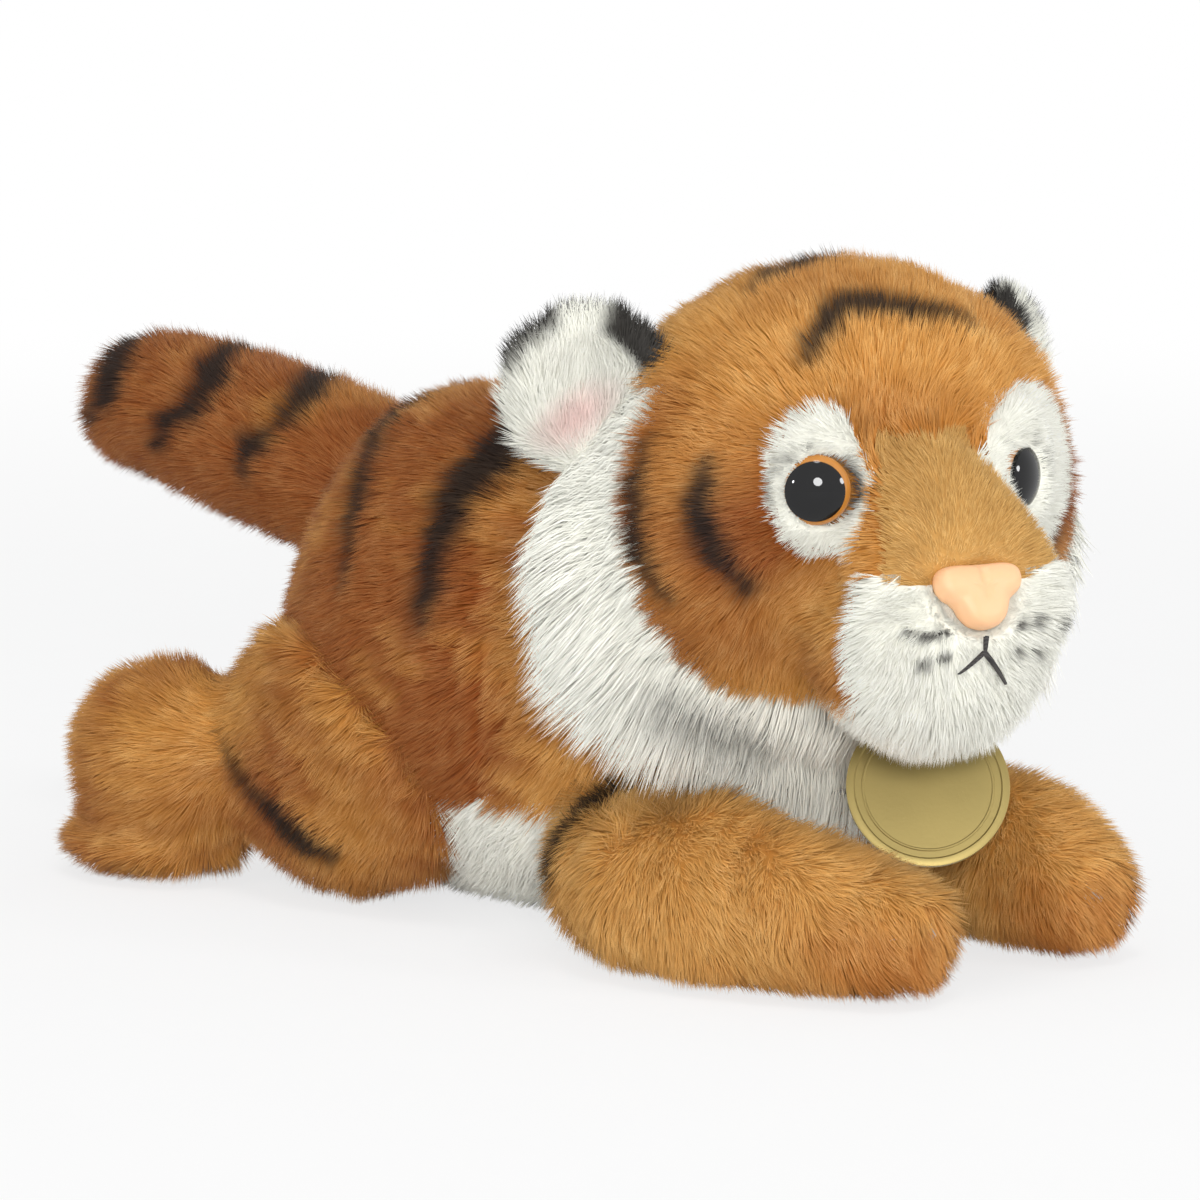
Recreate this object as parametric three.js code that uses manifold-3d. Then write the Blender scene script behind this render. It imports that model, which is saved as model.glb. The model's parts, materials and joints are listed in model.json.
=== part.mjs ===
import * as THREE from 'three';
import { mergeVertices } from 'three/addons/utils/BufferGeometryUtils.js';
import Module from 'manifold-3d';

// A plush tiger cub that lies on its belly, in millimetres.
// +Z is up, the tiger faces -Y and its left side is at +X.
// The origin is on the table, in the flat of the belly.

const wasm = await Module();
wasm.setup();

// Cloth, seams and cuts
const seamGap = 0.3;
const weldDistance = 0.001;
const plushThickness = 3;
const restDepth = 0.5;
const overrun = 40;

// Torso
const torsoLength = 101;
const torsoWidth = 65;
const torsoHeight = 76.5;
const torsoRear = 59.5;
const torsoFront = torsoLength - torsoRear;
const bellySeamHeight = 20;
const pouchLength = 44;
const pouchWidth = 34;
const pouchTall = 18;
const pouchBehind = 8;
const pouchRise = 5;

// Neck, round which the head nods and turns
const neckRadius = 13;
const neckInset = 14.5;
const neckForward = torsoFront - neckInset;
const neckDrop = 19.5;
const neckHeight = torsoHeight - neckDrop;
const headTurnAngle = 12;
const headNodAngle = 12;

// Head, about its own middle
const headReach = 24;
const headForward = neckForward + headReach;
const headRise = 13;
const headHeight = neckHeight + headRise;
const headOffset = -2.3;
const headTurnedBy = 17;
const headWidth = 76;
const headTall = 68;
const headFront = 26;
const headBack = 30;

// Ruff of the cheeks and throat
const ruffWidth = 87;
const ruffTall = 64;
const ruffThickness = 30;
const ruffDrop = 9;
const ruffBehind = 7.5;
const ruffTop = 10;

// Muzzle and bridge of the nose
const muzzleWidth = 35;
const muzzleTall = 29;
const muzzleDepth = 29;
const muzzleForward = 26;
const muzzleDrop = 20;
const bridgeTopWidth = 14;
const bridgeWidth = 34;
const bridgeDepth = 15;
const bridgeTall = 25;
const bridgeForward = 27;
const bridgeDrop = 2.5;

// Nose button
const noseWidth = 12.4;
const noseTall = 9.2;
const noseDepth = 3.2;
const noseRound = 1.3;
const noseForward = 39.4;
const noseDrop = 11.2;
const noseTilt = 22;
const noseShankRadius = 1.6;
const noseShankLength = 12;
const noseWasherRadius = 4.5;

// Eyes
const eyeDiameter = 10;
const eyeDome = 2.8;
const eyeRim = 0.5;
const pupilDiameter = 8.2;
const pupilSeat = 1;
const eyeSpacing = 31.5;
const eyeForward = 22.4;
const eyeLift = 3;
const eyeSplay = 31;
const eyeShankRadius = 1.3;
const eyeShankLength = 9;
const eyeWasherRadius = 4.2;
const washerThickness = 1.2;
const patchWidth = 15;
const patchTall = 20.5;
const patchThickness = 1.3;
const patchRise = 1.2;

// Mouth
const threadRadius = 0.45;
const mouthRise = 1.2;
const mouthStem = 2;
const mouthReach = 4.6;
const mouthFall = 4.2;

// Ears
const earWidth = 25;
const earTall = 26;
const earThickness = 9;
const earSpread = 36;
const earBehind = 12;
const earLift = 14.5;
const earSplay = 32;
const earCupWidth = 17;
const earCupTall = 18;
const earCupDepth = 3;
const earRoot = 4.6;
const earBendAngle = 15;

// Front legs
const legInset = 24.5;
const legRoot = torsoFront - legInset;
const legLength = 67;
const legSpread = 27;
const legWidth = 26;
const legTall = 29;
const pawWidth = 25;
const pawTall = 20.5;
const rightPawIn = 10;
const leftPawIn = 0.5;
const shoulderSpread = 17;
const shoulderInset = 21.5;
const shoulderForward = torsoFront - shoulderInset;
const legSplayAngle = 12;

// Hind legs
const thighLength = 60;
const thighWidth = 28;
const thighTall = 49;
const thighInset = 29.5;
const thighBehind = torsoRear - thighInset;
const thighSpread = 22.5;
const thighFrontRise = 5;
const thighRearDrop = 7;
const heelLength = 38;
const heelWidth = 29;
const heelTall = 32;
const heelStep = 36.5;
const heelBehind = thighBehind + heelStep;
const heelSpread = 30;
const toeLength = 36;
const toeWidth = 30;
const toeTall = 13;
const toeStep = 3.5;
const toeBehind = heelBehind + toeStep;
const hipStep = 10;
const hipBehind = thighBehind - hipStep;
const hipHeight = 26;
const kickAngle = 15;

// Tail
const tailLength = 66;
const tailRootDiameter = 30;
const tailTipDiameter = 25;
const tailRootHeight = 62;
const tailRise = 11;
const tailSunk = 8;
const tailBuried = 16;
const tailWagAngle = 20;

// Tag and the pin that holds it
const tagDiameter = 23.5;
const tagThickness = 0.8;
const tagReach = 17.9;
const tagForward = headForward + tagReach;
const tagOffset = -2.4;
const tagDrop = 41.8;
const tagHeight = headHeight - tagDrop;
const tagTurn = -45;
const tagLean = 25;
const tagHoleRadius = 1.3;
const tagHoleInset = 2.6;
const tagSwingAngle = 15;
const pinRadius = 0.45;
const pinHeadRadius = 2;
const pinHeadThickness = 0.8;
const pinPlay = 0.7;
const pinBarRadius = 0.8;
const pinBarLength = 9;
const pinRootInset = 11.5;
const pinRootForward = torsoFront - pinRootInset;
const pinRootHeight = 24;
const pinRun = 24;
const pinRunRise = 2;
const pinApproach = 8;

// Sides and rings of the stuffed shapes
const fine = {
  body: [24, 12],
  head: [20, 12],
  ruff: [20, 10],
  muzzle: [16, 10],
  bridge: [12, 7],
  limb: [14, 8],
  heel: [12, 8],
  toe: [12, 5],
  ear: [16, 8],
  small: [12, 5],
  filling: [10, 6],
};

// Sides of the round pieces, and steps along threads and curved outlines
const roundSides = { rod: 12, washer: 16, lens: 22, tag: 40, thread: 8 };
const threadSteps = { stem: 3, arm: 6, pin: 16 };
const outlineSteps = 5;
const domeSteps = 5;
const bevelSteps = 2;

const up = new THREE.Vector3(0, 0, 1);
const across = new THREE.Vector3(1, 0, 0);
const radians = THREE.MathUtils.degToRad;

function at(x, y, z) {
  return new THREE.Vector3(x, y, z);
}

// Solids and their cuts
// Shares the vertices that lie in the same place, while the shape still stands in its own frame.
function welded(geometry) {
  geometry.deleteAttribute('normal');
  geometry.deleteAttribute('uv');
  return mergeVertices(geometry, weldDistance);
}

function solidOf(geometry) {
  const vertProperties = new Float32Array(geometry.attributes.position.array);
  const triVerts = new Uint32Array(geometry.index.array);
  return new wasm.Manifold(new wasm.Mesh({ numProp: 3, vertProperties, triVerts }));
}

function geometryOf(solid) {
  const { numProp, vertProperties, triVerts } = solid.getMesh();
  const count = vertProperties.length / numProp;
  const places = new Float32Array(count * 3);
  for (let i = 0; i < count; i += 1) {
    places.set(vertProperties.subarray(i * numProp, i * numProp + 3), i * 3);
  }
  const geometry = new THREE.BufferGeometry();
  geometry.setAttribute('position', new THREE.BufferAttribute(places, 3));
  geometry.setIndex(new THREE.BufferAttribute(new Uint32Array(triVerts), 1));
  return geometry;
}

function joined(...geometries) {
  return geometries.map(solidOf).reduce((all, one) => all.add(one));
}

function cut(solid, ...geometries) {
  return geometries.reduce((left, one) => left.subtract(solidOf(one)), solid);
}

function moved(geometry, matrix) {
  return geometry.clone().applyMatrix4(matrix);
}

// A turn of so many degrees about an axis through a pivot.
function turn(pivot, axis, angle) {
  return new THREE.Matrix4().makeTranslation(pivot.x, pivot.y, pivot.z)
    .multiply(new THREE.Matrix4().makeRotationAxis(axis, radians(angle)))
    .multiply(new THREE.Matrix4().makeTranslation(-pivot.x, -pivot.y, -pivot.z));
}

// Copies of each geometry turned to each of the angles.
function turnedCopies(geometries, pivot, axis, angles) {
  return angles.flatMap((angle) => geometries.map((one) => moved(one, turn(pivot, axis, angle))));
}

// Keeps the side of a solid that is above or below a level of a placed frame.
function halfSpace(matrix, level, side) {
  const size = torsoLength + tailLength + legLength + overrun;
  const box = welded(new THREE.BoxGeometry(2 * size, 2 * size, size));
  return moved(box.translate(0, 0, level + (side * size) / 2), matrix);
}

const world = new THREE.Matrix4();
const table = halfSpace(world, 0, -1);

// Shapes
// Skins rings of points that start and end at a pole.
function closedRings(places, sides, rings) {
  const last = places.length - 1;
  const corner = (ring, side) => 1 + (ring - 1) * sides + (side % sides);
  const faces = [];
  for (let side = 0; side < sides; side += 1) {
    faces.push(0, corner(1, side), corner(1, side + 1));
    for (let ring = 1; ring < rings - 1; ring += 1) {
      const [a, b] = [corner(ring, side), corner(ring, side + 1)];
      const [c, d] = [corner(ring + 1, side), corner(ring + 1, side + 1)];
      faces.push(a, c, b, b, c, d);
    }
    faces.push(last, corner(rings - 1, side + 1), corner(rings - 1, side));
  }
  const geometry = new THREE.BufferGeometry().setFromPoints(places);
  geometry.setIndex(faces);
  return geometry;
}

// A stuffed shape: rounded sections along a bent centre line, which swell and taper by the half
// widths and half heights given at even steps, and close round at both ends.
function stuffedForm({ line, halfWidths, halfHeights, bluntness, sides, rings }, grow) {
  const centre = new THREE.CatmullRomCurve3(line);
  const sections = new THREE.SplineCurve(
    halfWidths.map((half, i) => new THREE.Vector2(half, halfHeights[i])));
  const places = [];
  for (let ring = 0; ring <= rings; ring += 1) {
    const along = (1 - Math.cos((Math.PI * ring) / rings)) / 2;
    const fromMiddle = 2 * along - 1;
    const roundness = Math.max(1 - Math.abs(fromMiddle) ** bluntness, 0) ** (1 / bluntness);
    const tangent = centre.getTangent(along);
    const middle = centre.getPoint(along).addScaledVector(tangent, grow * fromMiddle);
    if (ring === 0 || ring === rings) {
      places.push(middle);
      continue;
    }
    const section = sections.getPoint(along);
    const sideways = new THREE.Vector3().crossVectors(tangent, up).normalize();
    const upright = new THREE.Vector3().crossVectors(sideways, tangent);
    for (let side = 0; side < sides; side += 1) {
      const angle = (2 * Math.PI * side) / sides;
      places.push(middle.clone()
        .addScaledVector(sideways, Math.cos(angle) * (section.x + grow) * roundness)
        .addScaledVector(upright, Math.sin(angle) * (section.y + grow) * roundness));
    }
  }
  return closedRings(places, sides, rings);
}

// A ball squeezed to three half sizes about a place.
function squeezedBall(place, halves, [sides, rings], grow = 0) {
  const ball = welded(new THREE.SphereGeometry(1, sides, rings).rotateX(Math.PI / 2));
  ball.scale(halves.x + grow, halves.y + grow, halves.z + grow);
  return ball.translate(place.x, place.y, place.z);
}

// A closed outline of smooth curves, from shares of its half width and half height: the start, then
// two handles and an end for each curve.
function outlineOf(shares, halfWidth, halfTall) {
  const [start, ...rest] = shares.map(([wide, tall]) => [wide * halfWidth, tall * halfTall]);
  const outline = new THREE.Shape().moveTo(...start);
  for (let i = 0; i < rest.length; i += 3) {
    outline.bezierCurveTo(...rest[i], ...rest[i + 1], ...rest[i + 2]);
  }
  return outline;
}

// A round rod along +Y, from one level to another.
function rod(radius, from, to, sides = roundSides.rod) {
  const cylinder = welded(new THREE.CylinderGeometry(radius, radius, to - from, sides));
  return cylinder.translate(0, (to + from) / 2, 0);
}

// A turned piece about the Y axis, from its radii and the levels where it has them.
function turnedPiece(radii, levels) {
  const outline = radii.map((radius, i) => new THREE.Vector2(radius, levels[i]));
  return welded(new THREE.LatheGeometry(outline, roundSides.lens));
}

// A round thread along a smooth line of places.
function thread(places, radius, steps) {
  const outline = new THREE.Shape();
  outline.absarc(0, 0, radius, 0, 2 * Math.PI);
  return welded(new THREE.ExtrudeGeometry(outline, {
    steps,
    curveSegments: roundSides.thread / 2,
    extrudePath: new THREE.CatmullRomCurve3(places),
  }));
}



// Torso
const torsoWidthShares = [0.4, 0.43, 0.49, 0.52, 0.5, 0.43];
const torsoTallShares = [0.44, 0.47, 0.5, 0.51, 0.515, 0.45];
const torsoMiddleShares = [0.49, 0.485, 0.49, 0.5, 0.51, 0.54];
const torsoBluntness = 2.5;

function torsoForm(grow = 0, [sides, rings] = fine.body) {
  const steps = torsoMiddleShares.length - 1;
  return stuffedForm({
    line: torsoMiddleShares.map((share, i) =>
      at(0, torsoRear - torsoLength + (torsoLength * i) / steps, torsoHeight * share - restDepth)),
    halfWidths: torsoWidthShares.map((share) => share * torsoWidth),
    halfHeights: torsoTallShares.map((share) => share * torsoHeight),
    bluntness: torsoBluntness,
    sides,
    rings,
  }, grow);
}

function pouchForm(grow = 0, rise = pouchRise) {
  const place = at(0, pouchBehind, rise + pouchTall / 2);
  return squeezedBall(place, at(pouchWidth / 2, pouchLength / 2, pouchTall / 2), fine.small, grow);
}

const neck = at(0, -neckForward, neckHeight);

function neckForm(grow = 0) {
  return squeezedBall(neck, at(neckRadius, neckRadius, neckRadius), fine.ear, grow);
}

// Head, drawn facing -Y about its own middle, then turned and set in place
const headMatrix = new THREE.Matrix4().makeTranslation(headOffset, -headForward, headHeight)
  .multiply(new THREE.Matrix4().makeRotationZ(-radians(headTurnedBy)));

function onHead(geometry) {
  return moved(geometry, headMatrix);
}

const headWidthShares = [0.4, 0.48, 0.5, 0.5, 0.46];
const headTallShares = [0.42, 0.48, 0.5, 0.5, 0.47];
const headMiddleShares = [0.02, 0.02, 0, -0.01, -0.03];
const headBluntness = 2.2;

function headForm(grow = 0, [sides, rings] = fine.head) {
  const steps = headMiddleShares.length - 1;
  return onHead(stuffedForm({
    line: headMiddleShares.map((share, i) =>
      at(0, headBack - ((headFront + headBack) * i) / steps, headTall * share)),
    halfWidths: headWidthShares.map((share) => share * headWidth),
    halfHeights: headTallShares.map((share) => share * headTall),
    bluntness: headBluntness,
    sides,
    rings,
  }, grow));
}

function ruffForm(grow = 0) {
  const halves = at(ruffWidth / 2, ruffThickness / 2, ruffTall / 2);
  return onHead(squeezedBall(at(0, ruffBehind, -ruffDrop), halves, fine.ruff, grow));
}

const muzzleHalves = at(muzzleWidth / 2, muzzleDepth / 2, muzzleTall / 2);

function muzzleForm(grow = 0, fineness = fine.muzzle) {
  const place = at(0, -muzzleForward, -muzzleDrop);
  return onHead(squeezedBall(place, muzzleHalves, fineness, grow));
}

const bridgeLeanShare = 0.22;
const bridgeBluntness = 2.6;

function bridgeForm(grow = 0) {
  const lean = bridgeTall * bridgeLeanShare;
  const half = bridgeTall / 2;
  const [sides, rings] = fine.bridge;
  return onHead(stuffedForm({
    line: [
      at(0, -bridgeForward + lean, -bridgeDrop + half),
      at(0, -bridgeForward, -bridgeDrop),
      at(0, -bridgeForward - lean, -bridgeDrop - half),
    ],
    halfWidths: [bridgeTopWidth / 2, (bridgeTopWidth + bridgeWidth) / 4, bridgeWidth / 2],
    halfHeights: [bridgeDepth / 2, bridgeDepth / 2, bridgeDepth / 2],
    bluntness: bridgeBluntness,
    sides,
    rings,
  }, grow));
}

// Nose button, drawn facing -Y
const noseMatrix = headMatrix.clone()
  .multiply(new THREE.Matrix4().makeTranslation(0, -noseForward, -noseDrop))
  .multiply(new THREE.Matrix4().makeRotationX(-radians(noseTilt)));

const noseOutlineShares = [
  [0, 0.88], [0.3, 1.1], [1, 1.05], [1, 0.35], [1, -0.3], [0.45, -1], [0, -1],
  [-0.45, -1], [-1, -0.3], [-1, 0.35], [-1, 1.05], [-0.3, 1.1], [0, 0.88],
];

function noseForm(grow = 0) {
  const halfWidth = noseWidth / 2 + grow - noseRound;
  const halfTall = noseTall / 2 + grow - noseRound;
  const face = outlineOf(noseOutlineShares, halfWidth, halfTall);
  const button = welded(new THREE.ExtrudeGeometry(face, {
    depth: noseDepth + 2 * grow,
    curveSegments: outlineSteps,
    bevelThickness: noseRound,
    bevelSize: noseRound,
    bevelSegments: bevelSteps,
  }));
  button.rotateX(Math.PI / 2).translate(0, noseDepth + grow, 0);
  return moved(button, noseMatrix);
}

function noseShank(grow = 0) {
  const rear = noseDepth + noseRound + noseShankLength + grow;
  return moved(rod(noseShankRadius + grow, noseDepth, rear), noseMatrix);
}

// A washer this far behind the face of what it holds.
function washer(radius, front, grow) {
  return rod(radius + grow, front - grow, front + washerThickness + grow, roundSides.washer);
}

const noseWasherShare = 0.6;

function noseWasher(grow = 0) {
  const front = noseDepth + noseRound + noseShankLength * noseWasherShare;
  return moved(washer(noseWasherRadius, front, grow), noseMatrix);
}

// Eyes, drawn facing -Y about the middle of the lens's back
function eyeMatrix(side) {
  return headMatrix.clone()
    .multiply(new THREE.Matrix4().makeTranslation((side * eyeSpacing) / 2, -eyeForward, eyeLift))
    .multiply(new THREE.Matrix4().makeRotationZ(side * radians(eyeSplay)));
}

// The round front of a dome of this radius and height, out to the edge at the back.
function domeLine(radius, height) {
  const turns = Array.from({ length: domeSteps + 1 }, (_, i) => (Math.PI / 2) * (i / domeSteps));
  return {
    radii: turns.map((angle) => radius * Math.sin(angle)),
    levels: turns.map((angle) => -height * Math.cos(angle)),
  };
}

function eyeLens(side, grow = 0) {
  const radius = eyeDiameter / 2 + grow;
  const dome = domeLine(radius, eyeDome + grow);
  dome.levels = dome.levels.map((level) => level - eyeRim);
  const lens = turnedPiece([...dome.radii, radius, 0], [...dome.levels, grow, grow]);
  return moved(lens, eyeMatrix(side));
}

function eyeShank(side, grow = 0) {
  const shank = rod(eyeShankRadius + grow, -eyeRim, eyeShankLength + grow);
  return moved(shank, eyeMatrix(side));
}

function eyeWasher(side, grow = 0) {
  const front = plushThickness + patchThickness + 3 * seamGap;
  return moved(washer(eyeWasherRadius, front, grow), eyeMatrix(side));
}

function pupil(side, grow = 0) {
  const radius = pupilDiameter / 2 + grow;
  const dome = domeLine(radius, eyeDome - pupilSeat);
  dome.levels = dome.levels.map((level) => level - eyeRim - pupilSeat);
  const back = grow - eyeRim - pupilSeat / 2;
  const disc = turnedPiece([...dome.radii, radius, 0], [...dome.levels, back, back]);
  return moved(disc, eyeMatrix(side));
}

const patchOutlineShares = [
  [0, 1], [0.9, 0.95], [1, 0.3], [1, 0], [1, -0.6], [0.5, -1], [0, -1],
  [-0.7, -1], [-1, -0.4], [-1, 0], [-1, 0.6], [-0.5, 1], [0, 1],
];

// A leaf outline round the eye, pushed through the face.
function patchOutline(side) {
  const leaf = outlineOf(patchOutlineShares, (side * patchWidth) / 2, patchTall / 2);
  const prism = welded(new THREE.ExtrudeGeometry(leaf, {
    depth: headFront, curveSegments: outlineSteps, bevelEnabled: false,
  }));
  prism.rotateX(Math.PI / 2).translate(0, headFront / 2, patchRise);
  return moved(prism, eyeMatrix(side));
}

function eyePatch(side) {
  const layer = cut(solidOf(headForm(seamGap + patchThickness)), headForm(seamGap));
  const patch = layer.intersect(solidOf(patchOutline(side)));
  return cut(patch, bridgeForm(seamGap), eyeLens(side, seamGap), eyeShank(side, seamGap));
}

// Mouth, sewn on the front of the muzzle
function onMuzzle(sideways, drop) {
  const ofWidth = sideways / muzzleHalves.x;
  const ofTall = drop / muzzleHalves.z;
  const out = muzzleHalves.y * Math.sqrt(1 - ofWidth * ofWidth - ofTall * ofTall);
  const lift = seamGap + threadRadius;
  return at(sideways, -muzzleForward - out - lift, -muzzleDrop - drop).applyMatrix4(headMatrix);
}

const mouthBendShare = 0.35;

function mouthThread() {
  const fork = -mouthRise;
  const top = fork - mouthStem;
  const arm = (side) => thread([
    onMuzzle(0, fork),
    onMuzzle((side * mouthReach) / 2, fork + mouthFall * mouthBendShare),
    onMuzzle(side * mouthReach, fork + mouthFall),
  ], threadRadius, threadSteps.arm);
  const stem = thread([
    onMuzzle(0, top),
    onMuzzle(0, (top + fork) / 2),
    onMuzzle(0, fork + threadRadius),
  ], threadRadius, threadSteps.stem);
  return joined(stem, arm(-1), arm(1));
}

// Ears, drawn upright facing -Y about the middle of the ear
function earMatrix(side) {
  return headMatrix.clone()
    .multiply(new THREE.Matrix4().makeTranslation(side * earSpread, earBehind, earLift))
    .multiply(new THREE.Matrix4().makeRotationZ(side * radians(earSplay)));
}

function earForm(side, grow = 0) {
  const halves = at(earWidth / 2, earThickness / 2, earTall / 2);
  return moved(squeezedBall(at(0, 0, 0), halves, fine.ear, grow), earMatrix(side));
}

function earCup(side) {
  const halves = at(earCupWidth / 2, earCupDepth, earCupTall / 2);
  return moved(squeezedBall(at(0, -earThickness / 2, 0), halves, fine.small), earMatrix(side));
}

// The line along which an ear is sewn to the head, and about which it bends.
function earSeam(side) {
  const outward = at(side * earSpread, earBehind, earLift).normalize();
  const facing = at(0, -1, 0).applyAxisAngle(up, side * radians(earSplay));
  const seam = new THREE.Vector3().crossVectors(facing, outward).normalize();
  const pivot = at(side * earSpread, earBehind, earLift).addScaledVector(outward, -earRoot);
  return {
    pivot: pivot.applyMatrix4(headMatrix),
    axis: seam.transformDirection(headMatrix),
  };
}

function earLayer(side, front) {
  const { pivot, axis } = earSeam(side);
  const flat = earMatrix(side).multiply(new THREE.Matrix4().makeRotationX(Math.PI / 2));
  const layer = cut(solidOf(earForm(side)), earCup(side),
    halfSpace(flat, front ? seamGap / 2 : -seamGap / 2, front ? -1 : 1));
  return cut(layer, ...turnedCopies([headForm(seamGap), ruffForm(seamGap)], pivot, axis,
    [-earBendAngle, 0, earBendAngle]));
}

// Front legs
const legForwardShares = [0, 0.24, 0.5, 0.77, 1];
const legOutShares = [0, 0.95, 1, 0.9, 0.85];
const legInShares = [0, 0, 0.1, 0.6, 1];
const legSwellShares = [0.98, 1.02, 0.96, 0.98, 1];
const legBluntness = 3.6;

function legForm(side, grow = 0, [sides, rings] = fine.limb) {
  const pawIn = side < 0 ? rightPawIn : leftPawIn;
  const last = legForwardShares.length - 1;
  const between = (i, start, end) => start + ((end - start) * i) / last;
  const out = (i) => (i === 0 ? shoulderSpread : legSpread * legOutShares[i]);
  return stuffedForm({
    line: legForwardShares.map((share, i) => at(
      side * (out(i) - legInShares[i] * pawIn),
      -legRoot - share * legLength,
      between(i, legTall, pawTall) / 2 - restDepth)),
    halfWidths: legSwellShares.map((share, i) => (share * between(i, legWidth, pawWidth)) / 2),
    halfHeights: legSwellShares.map((share, i) => between(i, legTall, pawTall) / 2),
    bluntness: legBluntness,
    sides,
    rings,
  }, grow);
}

function shoulder(side) {
  return at(side * shoulderSpread, -shoulderForward, legTall / 2);
}

// Hind legs
const thighWidthShares = [0.42, 0.5, 0.46];
const thighTallShares = [0.44, 0.5, 0.46];
const thighBluntness = 2.1;

function thighForm(side, grow = 0, [sides, rings] = fine.limb) {
  const half = thighLength / 2;
  const middle = thighTall / 2 + restDepth;
  const line = [
    at(side * thighSpread, thighBehind - half, middle + thighFrontRise),
    at(side * thighSpread, thighBehind, middle),
    at(side * thighSpread, thighBehind + half, middle - thighRearDrop),
  ];
  return stuffedForm({
    line,
    halfWidths: thighWidthShares.map((share) => share * thighWidth),
    halfHeights: thighTallShares.map((share) => share * thighTall),
    bluntness: thighBluntness,
    sides,
    rings,
  }, grow);
}

const heelLiftShare = 0.62;

function heelForm(side, grow = 0, fineness = fine.heel) {
  const place = at(side * heelSpread, heelBehind, heelTall * heelLiftShare);
  const halves = at(heelWidth / 2, heelLength / 2, heelTall / 2);
  return squeezedBall(place, halves, fineness, grow);
}

function toeForm(side, grow = 0) {
  const place = at(side * heelSpread, toeBehind, toeTall / 2 - restDepth);
  const halves = at(toeWidth / 2, toeLength / 2, toeTall / 2);
  return squeezedBall(place, halves, fine.toe, grow);
}

function hip(side) {
  return at(side * thighSpread, hipBehind, hipHeight);
}

// Tail
const tailBluntness = 3.2;
const tailRoot = at(0, torsoRear - tailSunk, tailRootHeight);
const tailStepShares = [0, 0.5, 1];

function tailForm(grow = 0, [sides, rings] = fine.limb) {
  const rise = radians(tailRise);
  const outward = at(0, Math.cos(rise), Math.sin(rise));
  const start = tailRoot.clone().addScaledVector(outward, -tailBuried);
  const halves = [
    tailRootDiameter / 2,
    (tailRootDiameter + tailTipDiameter) / 4,
    tailTipDiameter / 2,
  ];
  return stuffedForm({
    line: tailStepShares.map((share) =>
      start.clone().addScaledVector(outward, share * (tailBuried + tailLength))),
    halfWidths: halves,
    halfHeights: halves,
    bluntness: tailBluntness,
    sides,
    rings,
  }, grow);
}

// Tag, drawn facing -Y about its middle
const tagMatrix = new THREE.Matrix4().makeTranslation(tagOffset, -tagForward, tagHeight)
  .multiply(new THREE.Matrix4().makeRotationZ(radians(tagTurn)))
  .multiply(new THREE.Matrix4().makeRotationX(-radians(tagLean)));
const tagHoleRise = tagDiameter / 2 - tagHoleInset;

function tagDisc() {
  const disc = rod(tagDiameter / 2, -tagThickness / 2, tagThickness / 2, roundSides.tag);
  const hole = rod(tagHoleRadius, -tagThickness, tagThickness).translate(0, 0, tagHoleRise);
  return cut(solidOf(moved(disc, tagMatrix)), moved(hole, tagMatrix));
}

function tagPin(grow = 0) {
  const ofTag = (forward) => at(0, -forward, tagHoleRise).applyMatrix4(tagMatrix);
  const front = tagThickness / 2 + pinPlay;
  const root = at(0, -pinRootForward, pinRootHeight);
  const line = thread([
    root,
    at(0, -pinRootForward - pinRun / 2, pinRootHeight),
    at(0, -pinRootForward - pinRun, pinRootHeight + pinRunRise),
    ofTag(-pinApproach),
    ofTag(front + pinHeadThickness / 2),
  ], pinRadius + grow, threadSteps.pin);
  const head = rod(pinHeadRadius + grow, -front - pinHeadThickness - grow, -front + grow);
  const barRadius = pinBarRadius + grow;
  const barLength = pinBarLength + 2 * grow;
  const bar = rod(barRadius, -barLength / 2, barLength / 2, roundSides.thread);
  bar.rotateZ(Math.PI / 2).translate(root.x, root.y, root.z);
  return joined(line, moved(head.translate(0, 0, tagHoleRise), tagMatrix), bar);
}

// What the head sweeps as it turns and nods
const headAndRuff = [headForm(seamGap), ruffForm(seamGap)];
const turnedHeads = turnedCopies(headAndRuff, neck, up, [-headTurnAngle, 0, headTurnAngle]);
const headRoom = turnedCopies(turnedHeads, neck, across, [-headNodAngle, 0]);
const neckRoom = neckForm(2 * seamGap);

// What the torso sweeps past a limb that turns about its root
function torsoRoom(pivot, axis, angles) {
  return turnedCopies([torsoForm(seamGap)], pivot, axis, angles);
}

const toy = new THREE.Group();

function add(name, solid, { colour, roughness, metalness = 0 }) {
  const material = new THREE.MeshStandardMaterial({ color: colour, roughness, metalness });
  const mesh = new THREE.Mesh(geometryOf(solid), material);
  mesh.name = name;
  toy.add(mesh);
}

const orangePlush = { colour: 0xc98345, roughness: 0.95 };
const whitePlush = { colour: 0xf2ece2, roughness: 0.95 };
const tanPlush = { colour: 0xd09a62, roughness: 0.95 };
const fibre = { colour: 0xf5f5f2, roughness: 1 };
const pellets = { colour: 0xdcd8cf, roughness: 0.8 };
const amberPlastic = { colour: 0xb8762f, roughness: 0.15 };
const blackPlastic = { colour: 0x0c0b0c, roughness: 0.1 };
const peachRubber = { colour: 0xf3bd8c, roughness: 0.45 };
const clearPlastic = { colour: 0xe6e6e2, roughness: 0.3 };
const blackThread = { colour: 0x1a1716, roughness: 0.85 };
const goldFoil = { colour: 0xb9a766, roughness: 0.35, metalness: 0.8 };

// Skins are hollow and open at the seam where the next stuffed part joins
const insideSkin = -plushThickness;
const insideFilling = -plushThickness - seamGap;
const filler = fine.filling;

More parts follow.
